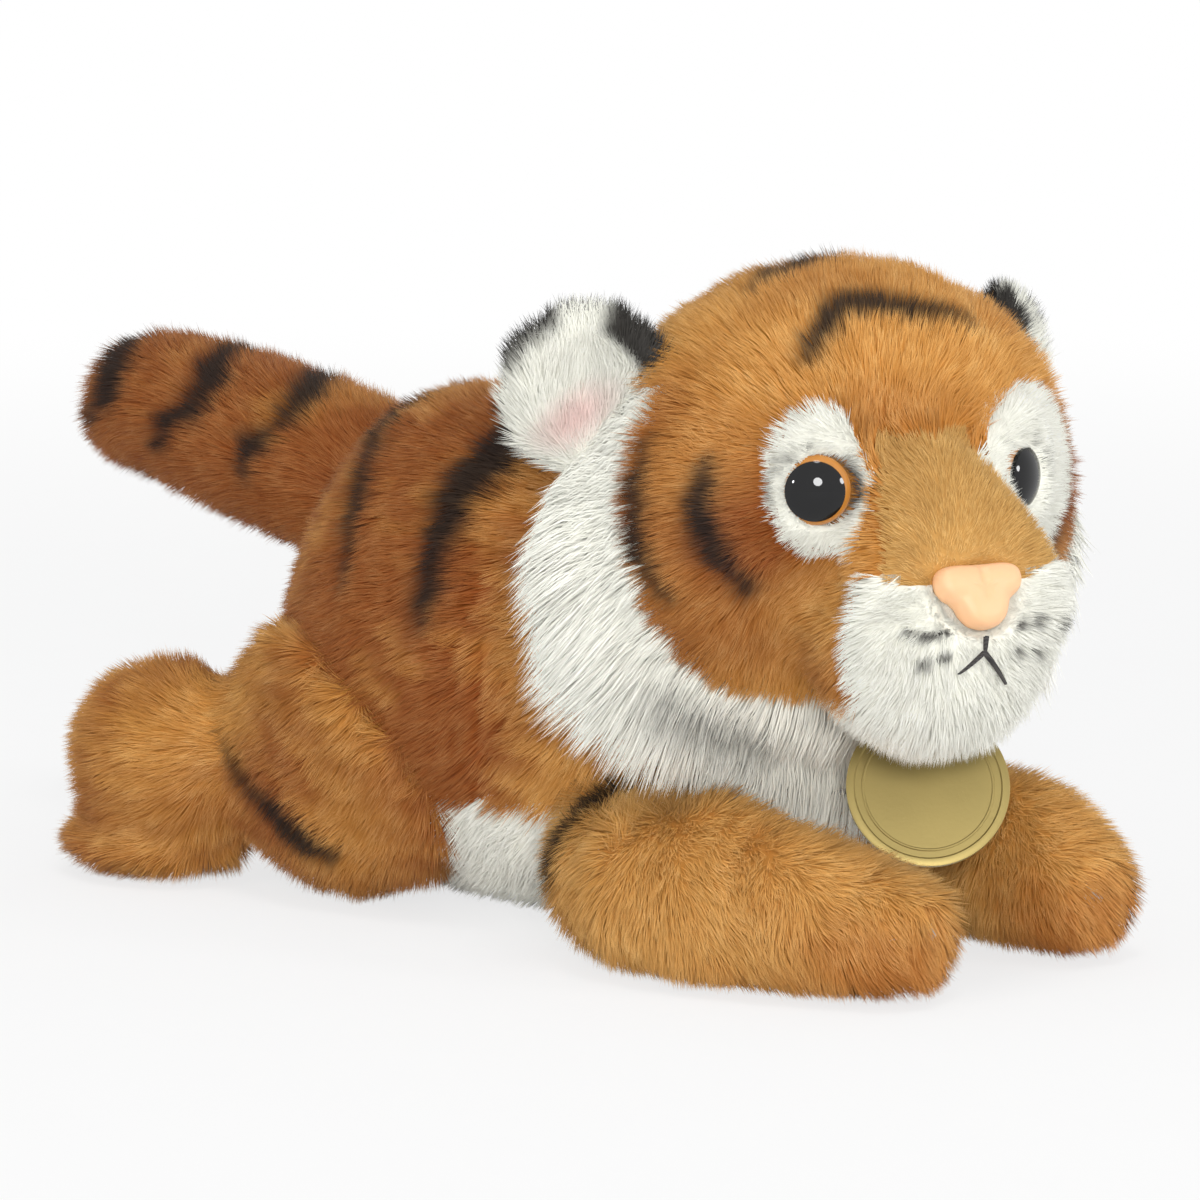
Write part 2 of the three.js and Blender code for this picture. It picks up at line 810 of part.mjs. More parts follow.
function addTorso() {
  const skin = cut(solidOf(torsoForm()), torsoForm(insideSkin, filler), table,
    neckRoom, ...headRoom);
  const pin = geometryOf(tagPin(seamGap));
  add('torso_skin', cut(skin, halfSpace(world, bellySeamHeight + seamGap, -1), pin), orangePlush);
  add('belly_panel', cut(skin, halfSpace(world, bellySeamHeight, 1)), whitePlush);
  add('torso_filling', cut(solidOf(torsoForm(insideFilling, filler)), neckRoom,
    pouchForm(seamGap), pouchForm(seamGap, 0), pin, ...headRoom), fibre);
  add('torso_pellet_pouch', solidOf(pouchForm()), pellets);
  add('neck_filling', solidOf(neckForm()), fibre);
}

function addHead() {
  const eyes = [-1, 1].flatMap((side) => [eyeLens(side, seamGap), eyeShank(side, seamGap)]);
  const washers = [-1, 1].map((side) => eyeWasher(side, seamGap));
  const fixings = [noseForm(seamGap), noseShank(seamGap), noseWasher(seamGap)];
  add('head_skin', cut(solidOf(headForm()), headForm(insideSkin, filler), neckRoom,
    ...fixings, ...eyes, ...washers), orangePlush);
  add('head_filling', cut(solidOf(headForm(insideFilling, filler)), neckRoom,
    ...fixings, ...eyes, ...washers), fibre);
  add('cheek_ruff', cut(solidOf(ruffForm()), headForm(seamGap), muzzleForm(seamGap),
    neckRoom, halfSpace(headMatrix, ruffTop, 1)), whitePlush);
  add('muzzle_skin', cut(solidOf(muzzleForm()), muzzleForm(insideSkin, filler), headForm(seamGap),
    ...fixings), whitePlush);
  add('muzzle_filling', cut(solidOf(muzzleForm(insideFilling, filler)), headForm(seamGap),
    ...fixings), fibre);
  add('nose_bridge', cut(solidOf(bridgeForm()), headForm(seamGap), muzzleForm(seamGap),
    ...fixings), tanPlush);
  add('nose_button', joined(noseForm(), noseShank()), peachRubber);
  add('nose_washer', cut(solidOf(noseWasher()), noseShank(seamGap)), clearPlastic);
  add('mouth_thread', mouthThread(), blackThread);
}

function addEye(name, side) {
  const seat = pupil(side, seamGap);
  add(`${name}_eye_patch`, eyePatch(side), whitePlush);
  add(`${name}_eye_lens`, cut(joined(eyeLens(side), eyeShank(side)), seat), amberPlastic);
  add(`${name}_eye_pupil`, solidOf(pupil(side)), blackPlastic);
  add(`${name}_eye_washer`, cut(solidOf(eyeWasher(side)), eyeShank(side, seamGap)), clearPlastic);
}

function addEar(name, side) {
  add(`${name}_ear_back`, earLayer(side, false), orangePlush);
  add(`${name}_ear_lining`, earLayer(side, true), whitePlush);
}

function addFrontLeg(name, side) {
  const outward = side < 0 ? [0, legSplayAngle] : [0, -legSplayAngle];
  const room = [
    ...torsoRoom(shoulder(side), up, outward),
    ...turnedCopies([ruffForm(seamGap)], shoulder(side), up, outward),
    ...headRoom,
    table,
  ];
  add(`${name}_front_leg_skin`,
    cut(solidOf(legForm(side)), legForm(side, insideSkin, filler), ...room), orangePlush);
  add(`${name}_front_leg_filling`,
    cut(solidOf(legForm(side, insideFilling, filler)), ...room), fibre);
}

function addHindLeg(name, side) {
  const room = [...torsoRoom(hip(side), across, [0, -kickAngle]), table];
  add(`${name}_thigh_skin`,
    cut(solidOf(thighForm(side)), thighForm(side, insideSkin, filler), ...room), orangePlush);
  add(`${name}_thigh_filling`,
    cut(solidOf(thighForm(side, insideFilling, filler)), ...room), fibre);
  const foot = joined(heelForm(side), toeForm(side));
  add(`${name}_foot_skin`, cut(foot, heelForm(side, insideSkin, filler), thighForm(side, seamGap),
    ...room), orangePlush);
  add(`${name}_foot_filling`, cut(solidOf(heelForm(side, insideFilling, filler)),
    thighForm(side, seamGap), ...room), fibre);
}

function addTail() {
  const room = torsoRoom(tailRoot, up, [-tailWagAngle, 0, tailWagAngle]);
  add('tail_skin', cut(solidOf(tailForm()), tailForm(insideSkin, filler), ...room), orangePlush);
  add('tail_filling', cut(solidOf(tailForm(insideFilling, filler)), ...room), fibre);
}

addTorso();
addHead();
for (const [name, side] of [['right', -1], ['left', 1]]) {
  addEye(name, side);
  addEar(name, side);
  addFrontLeg(name, side);
  addHindLeg(name, side);
}
addTail();
add('tag_disc', tagDisc(), goldFoil);
add('tag_pin', tagPin(), clearPlastic);

export default toy;
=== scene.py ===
"""Dresses the frame of a plush tiger cub: sewn skins with their pile, eyes, nose, mouth, tag and stage.

Lengths in the tables are in millimetres, in the frame of the CAD part: the cub lies on z = 0 and
looks along -Y. Pile grows on forms that are drawn in from the CAD skins, so that its tips end
near them.
"""

import json
import math
from contextlib import contextmanager
from dataclasses import dataclass

import bpy
import numpy as np
from mathutils import Matrix, Vector
from mathutils.bvhtree import BVHTree

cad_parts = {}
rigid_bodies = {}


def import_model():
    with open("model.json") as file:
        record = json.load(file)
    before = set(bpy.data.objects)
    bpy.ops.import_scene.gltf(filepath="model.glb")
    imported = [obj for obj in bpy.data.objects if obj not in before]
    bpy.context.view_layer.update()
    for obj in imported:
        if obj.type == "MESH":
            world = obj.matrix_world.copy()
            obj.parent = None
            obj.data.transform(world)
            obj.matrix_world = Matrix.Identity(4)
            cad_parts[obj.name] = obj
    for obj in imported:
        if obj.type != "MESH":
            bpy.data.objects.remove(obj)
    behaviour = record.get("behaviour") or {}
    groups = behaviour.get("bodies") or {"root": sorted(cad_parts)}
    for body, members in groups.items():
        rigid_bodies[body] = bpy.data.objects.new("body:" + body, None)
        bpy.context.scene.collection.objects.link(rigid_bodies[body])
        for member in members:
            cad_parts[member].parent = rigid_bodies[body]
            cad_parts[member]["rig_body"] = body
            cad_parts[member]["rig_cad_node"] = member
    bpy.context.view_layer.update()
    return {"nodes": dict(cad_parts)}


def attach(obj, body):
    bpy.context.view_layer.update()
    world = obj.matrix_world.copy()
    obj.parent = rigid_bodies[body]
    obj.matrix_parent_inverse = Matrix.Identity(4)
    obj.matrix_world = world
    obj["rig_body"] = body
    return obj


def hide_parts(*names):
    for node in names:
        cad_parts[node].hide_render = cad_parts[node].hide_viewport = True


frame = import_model()

bl_info = {
    "name": "Plush Tiger Cub",
    "version": (1, 0, 0),
    "blender": (4, 5, 0),
    "location": "View3D > Sidebar > Plush Tiger",
    "description": "Adds the sewn skins, pile, face and tag of a plush tiger cub, and a pale stage",
    "category": "Add Mesh",
}

MM = 0.001
SIDES = {"right": -1, "left": 1}

# The head's own frame: its middle, and the turn that the cub rests with
HEAD_MIDDLE = np.array([-2.3, -51.0, 70.0])
HEAD_TURN = math.radians(-17)


def turned(angle):
    """Axes turned about the vertical, one to a row."""
    across, back = math.cos(angle), math.sin(angle)
    return np.array([[across, back, 0], [-back, across, 0], [0, 0, 1]])


HEAD_AXES = turned(HEAD_TURN)


# Settings that a user would change


def metres(name, description, default):
    return bpy.props.FloatProperty(name=name, description=description, default=default, unit="LENGTH")


def colour_setting(name, description, default):
    return bpy.props.FloatVectorProperty(name=name, description=description, subtype="COLOR", default=default)


class PileSettings(bpy.types.PropertyGroup):
    """How the pile is cut and how thickly it grows."""

    coat_length: metres("Coat Length", "Pile of the back, legs and tail", 0.0056)
    face_length: metres("Face Length", "Pile of the crown and cheeks", 0.005)
    muzzle_length: metres("Muzzle Length", "White pile of the muzzle", 0.0033)
    bridge_length: metres("Bridge Length", "Short pile of the nose bridge", 0.0021)
    patch_length: metres("Patch Length", "White pile round the eyes", 0.0029)
    ruff_length: metres("Ruff Length", "Long pile round the cheeks", 0.0125)
    ear_length: metres("Ear Length", "White pile inside the ears", 0.0048)
    strand_width: metres("Strand Width", "Width of a tuft of fibres at its root", 0.00022)
    strands_per_mm2: bpy.props.FloatProperty(
        name="Strands per mm2", description="Tufts on a square millimetre of cloth", default=8.7, min=0.1
    )
    root_depth: metres("Root Depth", "How far the cloth lies below the CAD skin", 0.0024)


class ColourSettings(bpy.types.PropertyGroup):
    """Colours of the pile, some of which also paint light and shade on it."""

    orange: colour_setting("Orange", "Main colour of the coat", (0.78, 0.33, 0.058))
    # Deep Orange is the coat's deeper dye, and also painted shade underneath, in folds and in the hollow
    # beside the nose bridge
    deep_orange: colour_setting("Deep Orange", "Where the coat lies in a fold", (0.36, 0.085, 0.009))
    # Leg Orange is the coat's orange painted brighter: painted light on the front legs where the head shades
    # them
    leg_orange: colour_setting("Leg Orange", "Front legs, a little brighter than the coat", (0.86, 0.41, 0.095))
    deep_leg_orange: colour_setting("Deep Leg Orange", "Toes of the front legs", (0.58, 0.18, 0.025))
    # Straw and Bright White tint the tips: partly the pile's own paler tips, partly painted light through
    # them
    straw: colour_setting("Straw", "Sun-bleached tips of the coat", (0.95, 0.66, 0.28))
    tan: colour_setting("Tan", "Nose bridge", (0.64, 0.34, 0.09))
    white: colour_setting("White", "Muzzle, ruff, belly and ears", (0.98, 0.97, 0.86))
    bright_white: colour_setting("Bright White", "Tips of the white pile", (1.0, 1.0, 0.94))
    stripe: colour_setting("Stripe", "Airbrushed stripes", (0.014, 0.01, 0.008))
    pink: colour_setting("Pink", "Blush inside the ears", (0.85, 0.42, 0.4))


class FaceSettings(bpy.types.PropertyGroup):
    """Colours of the eyes, the nose and the tag."""

    amber: colour_setting("Amber", "Ring of the eye", (0.42, 0.17, 0.03))
    nose: colour_setting("Nose", "Soft plastic of the nose", (0.85, 0.47, 0.24))
    gold: colour_setting("Gold", "Foil of the tag", (0.31, 0.24, 0.085))


class StageSettings(bpy.types.PropertyGroup):
    """Floor and light."""

    floor_size: metres("Floor Size", "Side of the floor", 4.0)
    sky: bpy.props.FloatProperty(name="Sky", description="Strength of the even light", default=0.55)
    key_power: bpy.props.FloatProperty(
        name="Key Power", description="Power of the main lamp", default=8.0, unit="POWER"
    )


# Shader maths


class Wire:
    """One output socket, so that shader maths reads as an expression."""

    def __init__(self, paint, socket):
        self.paint = paint
        self.socket = socket

    def _maths(self, operation, *values):
        return self.paint.node("ShaderNodeMath", {"operation": operation}, dict(enumerate(values)))

    def __add__(self, other):
        return self._maths("ADD", self, other)

    __radd__ = __add__

    def __sub__(self, other):
        return self._maths("SUBTRACT", self, other)

    def __rsub__(self, other):
        return self._maths("SUBTRACT", other, self)

    def __mul__(self, other):
        return self._maths("MULTIPLY", self, other)

    __rmul__ = __mul__

    def __pow__(self, other):
        return self._maths("POWER", self, other)

    def most(self, other):
        return self._maths("MAXIMUM", self, other)

    def beside(self, name):
        """Another output of the same node."""
        return Wire(self.paint, self.socket.node.outputs[name])


class Paint:
    """The node tree of a material or a world under construction."""

    def __init__(self, owner):
        self.owner = owner
        owner.use_nodes = True
        self.tree = owner.node_tree
        self.tree.nodes.clear()

    def node(self, kind, settings=None, inputs=None, output=0):
        """Adds a node: its settings first, then values or links into its sockets."""
        made = self.tree.nodes.new(kind)
        for key, value in (settings or {}).items():
            setattr(made, key, value)
        for key, value in (inputs or {}).items():
            socket = made.inputs[key]
            if isinstance(value, Wire):
                self.tree.links.new(value.socket, socket)
            else:
                is_colour = socket.type == "RGBA" and len(value) == 3
                socket.default_value = (*value, 1) if is_colour else value
        return Wire(self, made.outputs[output]) if len(made.outputs) else None

    def mix(self, first, second, factor, blend="MIX"):
        """Mixes two colours."""
        settings = {"data_type": "RGBA", "blend_type": blend}
        return self.node("ShaderNodeMix", settings, {0: factor, 6: first, 7: second}, output=2)

    def attribute(self, name):
        return self.node("ShaderNodeAttribute", {"attribute_name": name}, output="Fac")

    def place(self):
        return self.node("ShaderNodeTexCoord", output="Object")

    def noise(self, scale, detail=2.0, roughness=0.5):
        inputs = {"Vector": self.place(), "Scale": scale, "Detail": detail, "Roughness": roughness}
        return self.node("ShaderNodeTexNoise", inputs=inputs)

    def bump(self, height, strength, distance):
        inputs = {"Height": height, "Strength": strength, "Distance": distance}
        return self.node("ShaderNodeBump", inputs=inputs)

    def surface(self, **sockets):
        """Ends the material in a Principled shader with these sockets."""
        named = {key.replace("_", " "): value for key, value in sockets.items()}
        shader = self.node("ShaderNodeBsdfPrincipled", inputs=named)
        self.node("ShaderNodeOutputMaterial", inputs={"Surface": shader})
        return self.owner


def new_paint(name):
    """The empty node tree of a new material."""
    return Paint(bpy.data.materials.new(name))


def times(colour, factor, lift=0.0):
    """A colour made lighter or darker."""
    return tuple(min(1.0, factor * share + lift) for share in colour)


# Materials

# Scales of the procedural noises, in cells to a metre
CLOUDS = 55.0
MOTTLES = 230.0
FIBRES = 900.0
# Share of a filling's colour that its darker threads have, and of a glossy part's that its foot has
FIBRE_SHADE = 0.8
FOOT_SHADE = 0.12


def plush(name, colour, deep, tip, colours, root_shade=0.72, tip_paling_and_glow=0.47):
    """Pile with painted shade at its roots and paler tips, partly the pile's own and partly painted light
    through them, with airbrushed marks from attributes.
    """
    paint = new_paint(name)
    along = paint.attribute("along")
    strand = paint.attribute("strand")
    cloud = paint.noise(CLOUDS, 3.0)
    mottle = paint.noise(MOTTLES, 2.0, 0.6)
    # The deep mark: deeper dye, and painted shade underneath and in hollows
    depth = paint.attribute("deep")
    # Paler tips: partly the pile's own paler tips, partly painted light through the tips; their mottles are
    # partly painted highlights on tufts
    bleached = (strand * 0.8 + 0.6) * (cloud * 0.9 + 0.45) * (mottle * 2.4 - 0.2) * (1 - depth * 0.6) * tip_paling_and_glow
    dye_and_painted_light = paint.mix(colour, deep, depth)
    dye_and_painted_light = paint.mix(dye_and_painted_light, tip, along ** 2.0 * bleached)
    dye_and_painted_light = paint.mix(dye_and_painted_light, tuple(colours.pink), paint.attribute("blush"))
    dye_and_painted_light = paint.mix(dye_and_painted_light, tuple(colours.stripe), paint.attribute("stripe"))
    # Painted shade, darker towards the roots where strands shade each other, times random tone of strands,
    # clouds and mottles, the mottles partly painted highlights
    light = along ** 0.7 * (1 - root_shade) + root_shade
    light = light * (strand * 0.14 + 0.93) * (cloud * 0.24 + 0.88) * (mottle * 0.36 + 0.82)
    grey = paint.node("ShaderNodeCombineColor", inputs={0: light, 1: light, 2: light})
    return paint.surface(
        Base_Color=paint.mix(dye_and_painted_light, grey, 1.0, "MULTIPLY"),
        Roughness=0.62 - strand * 0.15,
        Specular_IOR_Level=0.22,
        Sheen_Weight=0.03,
        Sheen_Roughness=0.45,
        Sheen_Tint=(1.0, 0.93, 0.85, 1.0),
    )


def filling_material(name, colour):
    """Loose polyester fibre or a pouch's cloth, seen only if the cub is opened."""
    paint = new_paint(name)
    fibres = paint.noise(FIBRES, 6.0, 0.7)
    return paint.surface(
        Base_Color=paint.mix(colour, times(colour, FIBRE_SHADE), fibres),
        Roughness=0.9,
        Normal=paint.bump(fibres, 0.5, 0.0005),
    )


def thread_material(name):
    """Twisted embroidery thread."""
    paint = new_paint(name)
    twist = paint.node(
        "ShaderNodeTexWave",
        {"wave_type": "BANDS", "bands_direction": "DIAGONAL"},
        {"Vector": paint.place(), "Scale": 900.0, "Distortion": 0.6},
        output="Fac",
    )
    return paint.surface(
        Base_Color=paint.mix((0.012, 0.01, 0.01), (0.05, 0.045, 0.042), twist),
        Roughness=0.55,
        Normal=paint.bump(twist, 0.6, 0.0002),
    )


def clear_material(name):
    """Milky clear nylon."""
    paint = new_paint(name)
    haze = paint.noise(400.0, 3.0)
    return paint.surface(
        Base_Color=paint.mix((0.8, 0.82, 0.83), (0.7, 0.72, 0.74), haze),
        Roughness=haze * 0.15 + 0.18,
        IOR=1.53,
        Transmission_Weight=0.6,
    )


def glossy_material(name, colour, roughness, specular=0.5):
    """Polished plastic with faint swirls under its gloss, darker at its foot."""
    paint = new_paint(name)
    swirl = paint.noise(350.0, 4.0, 0.6)
    clear = paint.mix(colour, times(colour, 1.5, 0.002), swirl)
    return paint.surface(
        Base_Color=paint.mix(clear, times(colour, FOOT_SHADE), paint.attribute("foot")),
        Roughness=swirl * 0.03 + roughness,
        Specular_IOR_Level=specular,
    )


def rubber_material(name, colour):
    """Soft matt plastic with a fine moulded grain."""
    paint = new_paint(name)
    grain = paint.noise(2600.0, 3.0, 0.6)
    cloud = paint.noise(160.0)
    return paint.surface(
        Base_Color=paint.mix(colour, (0.95, 0.66, 0.42), cloud * 0.4),
        Roughness=cloud * 0.1 + 0.42,
        Subsurface_Weight=0.15,
        Subsurface_Radius=(0.004, 0.002, 0.001),
        Subsurface_Scale=0.5,
        Normal=paint.bump(grain, 0.15, 0.0001),
    )


def foil_material(name, colour):
    """Satin gold foil on card, with the fine grain of its stamping."""
    paint = new_paint(name)
    grain = paint.noise(1800.0, 3.0, 0.55)
    cloud = paint.noise(90.0)
    return paint.surface(
        Base_Color=paint.mix(colour, times(colour, 1.18), cloud),
        Metallic=0.75,
        Roughness=cloud * 0.12 + 0.38,
        Normal=paint.bump(grain, 0.12, 0.0001),
    )


class TIGER_OT_materials(bpy.types.Operator):
    """Make the plush materials and finish the frame's own nodes"""

    bl_idname = "tiger.materials"
    bl_label = "Materials"

    def execute(self, context):
        colours, face = context.scene.tiger_colours, context.scene.tiger_face
        pile_colours = {key: tuple(getattr(colours, key)) for key in ColourSettings.__annotations__}
        orange, straw, white, bright = (pile_colours[key] for key in ("orange", "straw", "white", "bright_white"))
        plush("orange_pile", orange, pile_colours["deep_orange"], straw, colours)
        # The front legs' pile is a brighter copy of the coat's, painted light
        plush("leg_pile", pile_colours["leg_orange"], pile_colours["deep_leg_orange"], straw, colours, 0.76, 0.5)
        plush("tan_pile", pile_colours["tan"], orange, straw, colours, 0.8, 0.5)
        plush("white_pile", white, straw, bright, colours, 0.92, 0.6)
        plush("black_pile", pile_colours["stripe"], orange, (0.06, 0.05, 0.045), colours, 0.6, 0.3)
        plush("ear_pile", white, straw, bright, colours, 0.94, 0.5)
        thread_material("mouth_stitch")
        clear = clear_material("clear_nylon")
        finishes = {
            "_filling": filling_material("fibre_fill", (0.8, 0.8, 0.78)),
            "_pouch": filling_material("pellet_cloth", (0.6, 0.6, 0.58)),
            "_washer": clear,
            "tag_pin": clear,
            "_lens": glossy_material("amber_gloss", tuple(face.amber), 0.05),
            "_pupil": glossy_material("black_gloss", (0.002, 0.002, 0.0025), 0.02, 0.4),
            "nose_button": rubber_material("peach_moulding", tuple(face.nose)),
            "tag_disc": foil_material("gold_foil", tuple(face.gold)),
        }
        for name, node in frame["nodes"].items():
            for ending, material in finishes.items():
                if name.endswith(ending):
                    for slot in node.material_slots:
                        slot.material = material
        return {"FINISHED"}


# Modelling helpers


def only(*objects):
    """Selects just these objects, the first one active."""
    if bpy.context.mode != "OBJECT":
        bpy.ops.object.mode_set(mode="OBJECT")
    bpy.ops.object.select_all(action="DESELECT")
    for made in objects:
        made.select_set(True)
    bpy.context.view_layer.objects.active = objects[0]


@contextmanager
def editing(made, afresh=True):
    """Edit mode on one object, with its whole mesh selected or with the selection it was left with."""
    only(made)
    bpy.ops.object.mode_set(mode="EDIT")
    if afresh:
        bpy.ops.mesh.select_all(action="SELECT")
    yield
    bpy.ops.object.mode_set(mode="OBJECT")


def select_faces(made, chosen):
    """Selects just these faces of a mesh, for when it is edited next."""
    with editing(made):
        bpy.ops.mesh.select_all(action="DESELECT")
    made.data.polygons.foreach_set("select", chosen)


def added(operator, name, **settings):
    """Adds a primitive by its operator, and names it."""
    bpy.ops.object.select_all(action="DESELECT")
    operator(**settings)
    made = bpy.context.view_layer.objects.active
    made.name = name
    return made


def apply_modifier(made, kind, **settings):
    """Adds a modifier with these settings and applies it."""
    modifier = made.modifiers.new(kind.title(), kind)
    for key, value in settings.items():
        setattr(modifier, key, value)
    only(made)
    bpy.ops.object.modifier_apply(modifier=modifier.name)


def linked_copy(original, name):
    """A copy of an object with its own mesh, which rides on nothing."""
    made = original.copy()
    made.data = original.data.copy()
    made.name = name
    made.parent = None
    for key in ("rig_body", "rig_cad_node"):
        if key in made:
            del made[key]
    bpy.context.scene.collection.objects.link(made)
    return made


def placed_by(at, facing):
    """The place of a part drawn facing +Z, in metres."""
    z_axis = Vector(facing).normalized()
    x_axis = Vector((0, 0, 1)).cross(z_axis).normalized()
    return in_frame(at, (x_axis, z_axis.cross(x_axis), z_axis))


def in_frame(at, axes):
    """The place of a part with these axes, in metres."""
    return Matrix.Translation(Vector(at) * MM) @ Matrix(axes).transposed().to_4x4()


def finish_hard(made, node, body, material, place=Matrix.Identity(4)):
    """Puts a hard part in its place, in its mesh, and lets it stand for its CAD node."""
    made.data.transform(place @ made.matrix_world)
    made.matrix_world = Matrix.Identity(4)
    made.data.update()
    made.data.materials.append(bpy.data.materials[material])
    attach(made, body)
    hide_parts(node)


def values_of(items, name, size, kind=np.float32):
    """A mesh property as an array."""
    values = np.empty(len(items) * size, kind)
    items.foreach_get(name, values)
    values = values.reshape(-1, size) if size > 1 else values
    return values.astype(np.float64) if kind is np.float32 else values


def shape_of(mesh):
    """A mesh's places in millimetres, its triangles, and a tree to look them up in."""
    mesh.calc_loop_triangles()
    places = values_of(mesh.vertices, "co", 3) / MM
    faces = values_of(mesh.loop_triangles, "vertices", 3, np.int32)
    return places, faces, BVHTree.FromPolygons(places.tolist(), faces.tolist())


def move_to(made, places):
    """Moves a mesh's vertices to these places, in millimetres."""
    made.data.vertices.foreach_set("co", (places * MM).astype(np.float32).ravel())
    made.data.update()


# Directions and distances


def unit(vectors):
    return vectors / np.maximum(np.linalg.norm(vectors, axis=-1, keepdims=True), 1e-9)


def ramp(value, start, stop):
    """0 up to the start, 1 from the stop on, and even between them. The stop may be the lower one."""
    return np.clip((value - start) / (stop - start), 0, 1)


def beyond(points, middle, radius, fade):
    """0 within a radius of a point, rising to 1 over this distance outside it."""
    return np.clip((np.linalg.norm(points - np.array(middle), axis=1) - radius) / fade, 0, 1)


def on_head(points):
    """Points of the whole cub in the head's own frame."""
    return (points - HEAD_MIDDLE) @ HEAD_AXES.T


def off_head(vectors):
    """Directions of the head's own frame in the whole cub's."""
    return vectors @ HEAD_AXES


WAVES = 6
WAVES_HEIGHT = 2.45


def ripple(points, size, seed):
    """A smooth random vector at each point, from waves of about this size."""
    rng = np.random.default_rng(seed)
    total = np.zeros_like(points)
    for _ in range(WAVES):
        wave = unit(rng.normal(size=3)) * rng.uniform(0.7, 1.5) * math.tau / size
        total += np.sin(points @ wave + rng.uniform(0, math.tau))[:, None] * unit(rng.normal(size=3))
    return total / WAVES_HEIGHT


# Sewn forms: each body's skins and filling as one soft closed form


@dataclass
class Recipe:
    """How a body's form is made: from which nodes, how coarse, and what it is sewn to."""

    nodes: list
    grain: float = 1.9
    draw_in: float = 1.0
    sewn_to: str = ""
    eased: float = 0.0


RECIPES = {
    "torso": Recipe(["torso_skin", "belly_panel", "torso_filling", "torso_pellet_pouch"], 2.2),
    "head": Recipe(
        ["head_skin", "cheek_ruff", "muzzle_skin", "nose_bridge", "right_eye_patch", "left_eye_patch",
         "head_filling", "muzzle_filling"],
        1.7,
    ),
    "tail": Recipe(["tail_skin", "tail_filling"], sewn_to="torso"),
    "neck": Recipe(["neck_filling"], draw_in=0.0),
}
for side in SIDES:
    RECIPES[f"{side}_ear"] = Recipe([f"{side}_ear_back", f"{side}_ear_lining"], 1.1, 0.5, "head")
    RECIPES[f"{side}_front_leg"] = Recipe(
        [f"{side}_front_leg_skin", f"{side}_front_leg_filling"], sewn_to="torso"
    )
    RECIPES[f"{side}_hind_leg"] = Recipe(
        [f"{side}_{piece}" for piece in ("thigh_skin", "thigh_filling", "foot_skin", "foot_filling")],
        sewn_to="torso", eased=0.45,
    )
CLOTH_THICKNESS = 0.5
# How deep a sewn root reaches into its body, how sharply cloth must face it, and the share of a thin
# form's thickness that its cloth may be drawn in by
SEWN_DEPTH = 2.6
FACING_SHARPNESS = 1.8
THIN_SHARE = 0.3
# Distances to that body: where a root begins to be pushed in and where it is in, and the same for easing
ROOT_REACH = (9, 5)
EASE_REACH = (11, 3)
# Shares of the root depth and of the pile's length right at the eyes and at the nose, and how far each fades
DEPTH_AT_EYES = (0.4, 6.0)
DEPTH_AT_NOSE = (0.4, 5.0)
LENGTH_AT_EYES = (0.55, 4.0)
LENGTH_AT_NOSE = (0.5, 4.0)

# Share of the root depth at which the cloth of these nodes lies, where it isn't 1
DEPTH_SHARES = {
    "cheek_ruff": 1.05, "nose_bridge": 0.3, "muzzle_skin": 0.6, "right_eye_patch": 0.45,
    "left_eye_patch": 0.45,
}

# Places and directions of the eyes' feet and of the nose, and how far round them no pile stands in front
EYES = {
    "right": {"at": (-24.65, -67.0, 73.0), "facing": (-0.7431, -0.6691, 0), "bare": 4.9},
    "left": {"at": (5.77, -75.28, 73.0), "facing": (0.2419, -0.9703, 0), "bare": 4.3},
}
NOSE_AT = (-12.84, -87.91, 58.8)
NOSE_FACING = (-0.2711, -0.8867, 0.3746)
NOSE_BARE = (5.8, 4.3)
EYE_RADIUS = 5.5
NOSE_RADIUS = 7.0

# Stuffing that pushes the cloth about: middle, radius and push, on the head in its own frame
SWELLS = {
    "head": (
        # The two pads of the muzzle
        ((-13, -31, -13), 7.0, (-1.8, -1.0, 0.6)),
        ((13, -31, -13), 7.5, (4.8, -1.8, 1.0)),
        # The hollow on the right of the bridge, and its full left side
        ((-11.8, -28, -3), 4.5, (0, 1.9, 0)),
        ((9, -30, -4), 7.0, (2.2, -1.8, 0)),
        # The seat of the nose, and the mouth's dip
        ((0, -37, -12), 5.5, (0.4, -1.4, 0)),
        ((0, -41, -17.5), 2.4, (0, 0.8, 0)),
        ((0, -41, -20.5), 2.4, (0, 0.8, 0)),
    ),
    "right_front_leg": (((-23, -50, 24), 9.0, (0, 0, 4.6)), ((-25, -67, 22), 11.0, (0, 0, 1.2))),
    "left_front_leg": (((23, -50, 24), 9.0, (0, 0, 4.6)), ((25, -67, 22), 11.0, (0, 0, 4.4))),
    "tail": (((-3, 112, 66), 9.0, (-1.0, 2.8, -2.2)),),
}
# Grooves between the toes of a front leg: places about its tip, their radius and depth
TOE_GROOVES = [(across, 0.5, up) for across in (-3.2, 3.2) for up in (-3.0, 0.0, 3.0)]
TOE_GROOVE_RADIUS = 2.2
TOE_GROOVE_DEPTH = 1.7
BACK_RISE = 4.5
EAR_MIDDLE = (36.0, 12.0, 14.5)
EAR_SPLAY = math.radians(32)
# How far an ear's inner edge comes forward and the ear sits inwards, and how much wider and lower it is
EAR_FOLD = 5.5
EAR_SHIFT = 1.6
EAR_WIDENING = (0.06, 0.2)
EAR_HEIGHT_SHARE = 0.96
forms = {}


class Form:
    """A body's soft form, with what is looked up on it in millimetres."""

    def __init__(self, body, made):
        self.body = body
        self.object = made
        self.normals = values_of(made.data.vertices, "normal", 3)
        self.places, self.faces, self.tree = shape_of(made.data)
        self.skin = self.places
        self.owners = None

    def holds(self, points, depth):
        """Which points lie deeper than this inside the form."""
        low, high = self.places.min(0) + depth, self.places.max(0) - depth
        inside = np.all((points > low) & (points < high), axis=1)
        for i in np.nonzero(inside)[0]:
            point = Vector(points[i])
            near, normal, _, _ = self.tree.find_nearest(point)
            inside[i] = (point - near).dot(normal) < -depth
        return inside


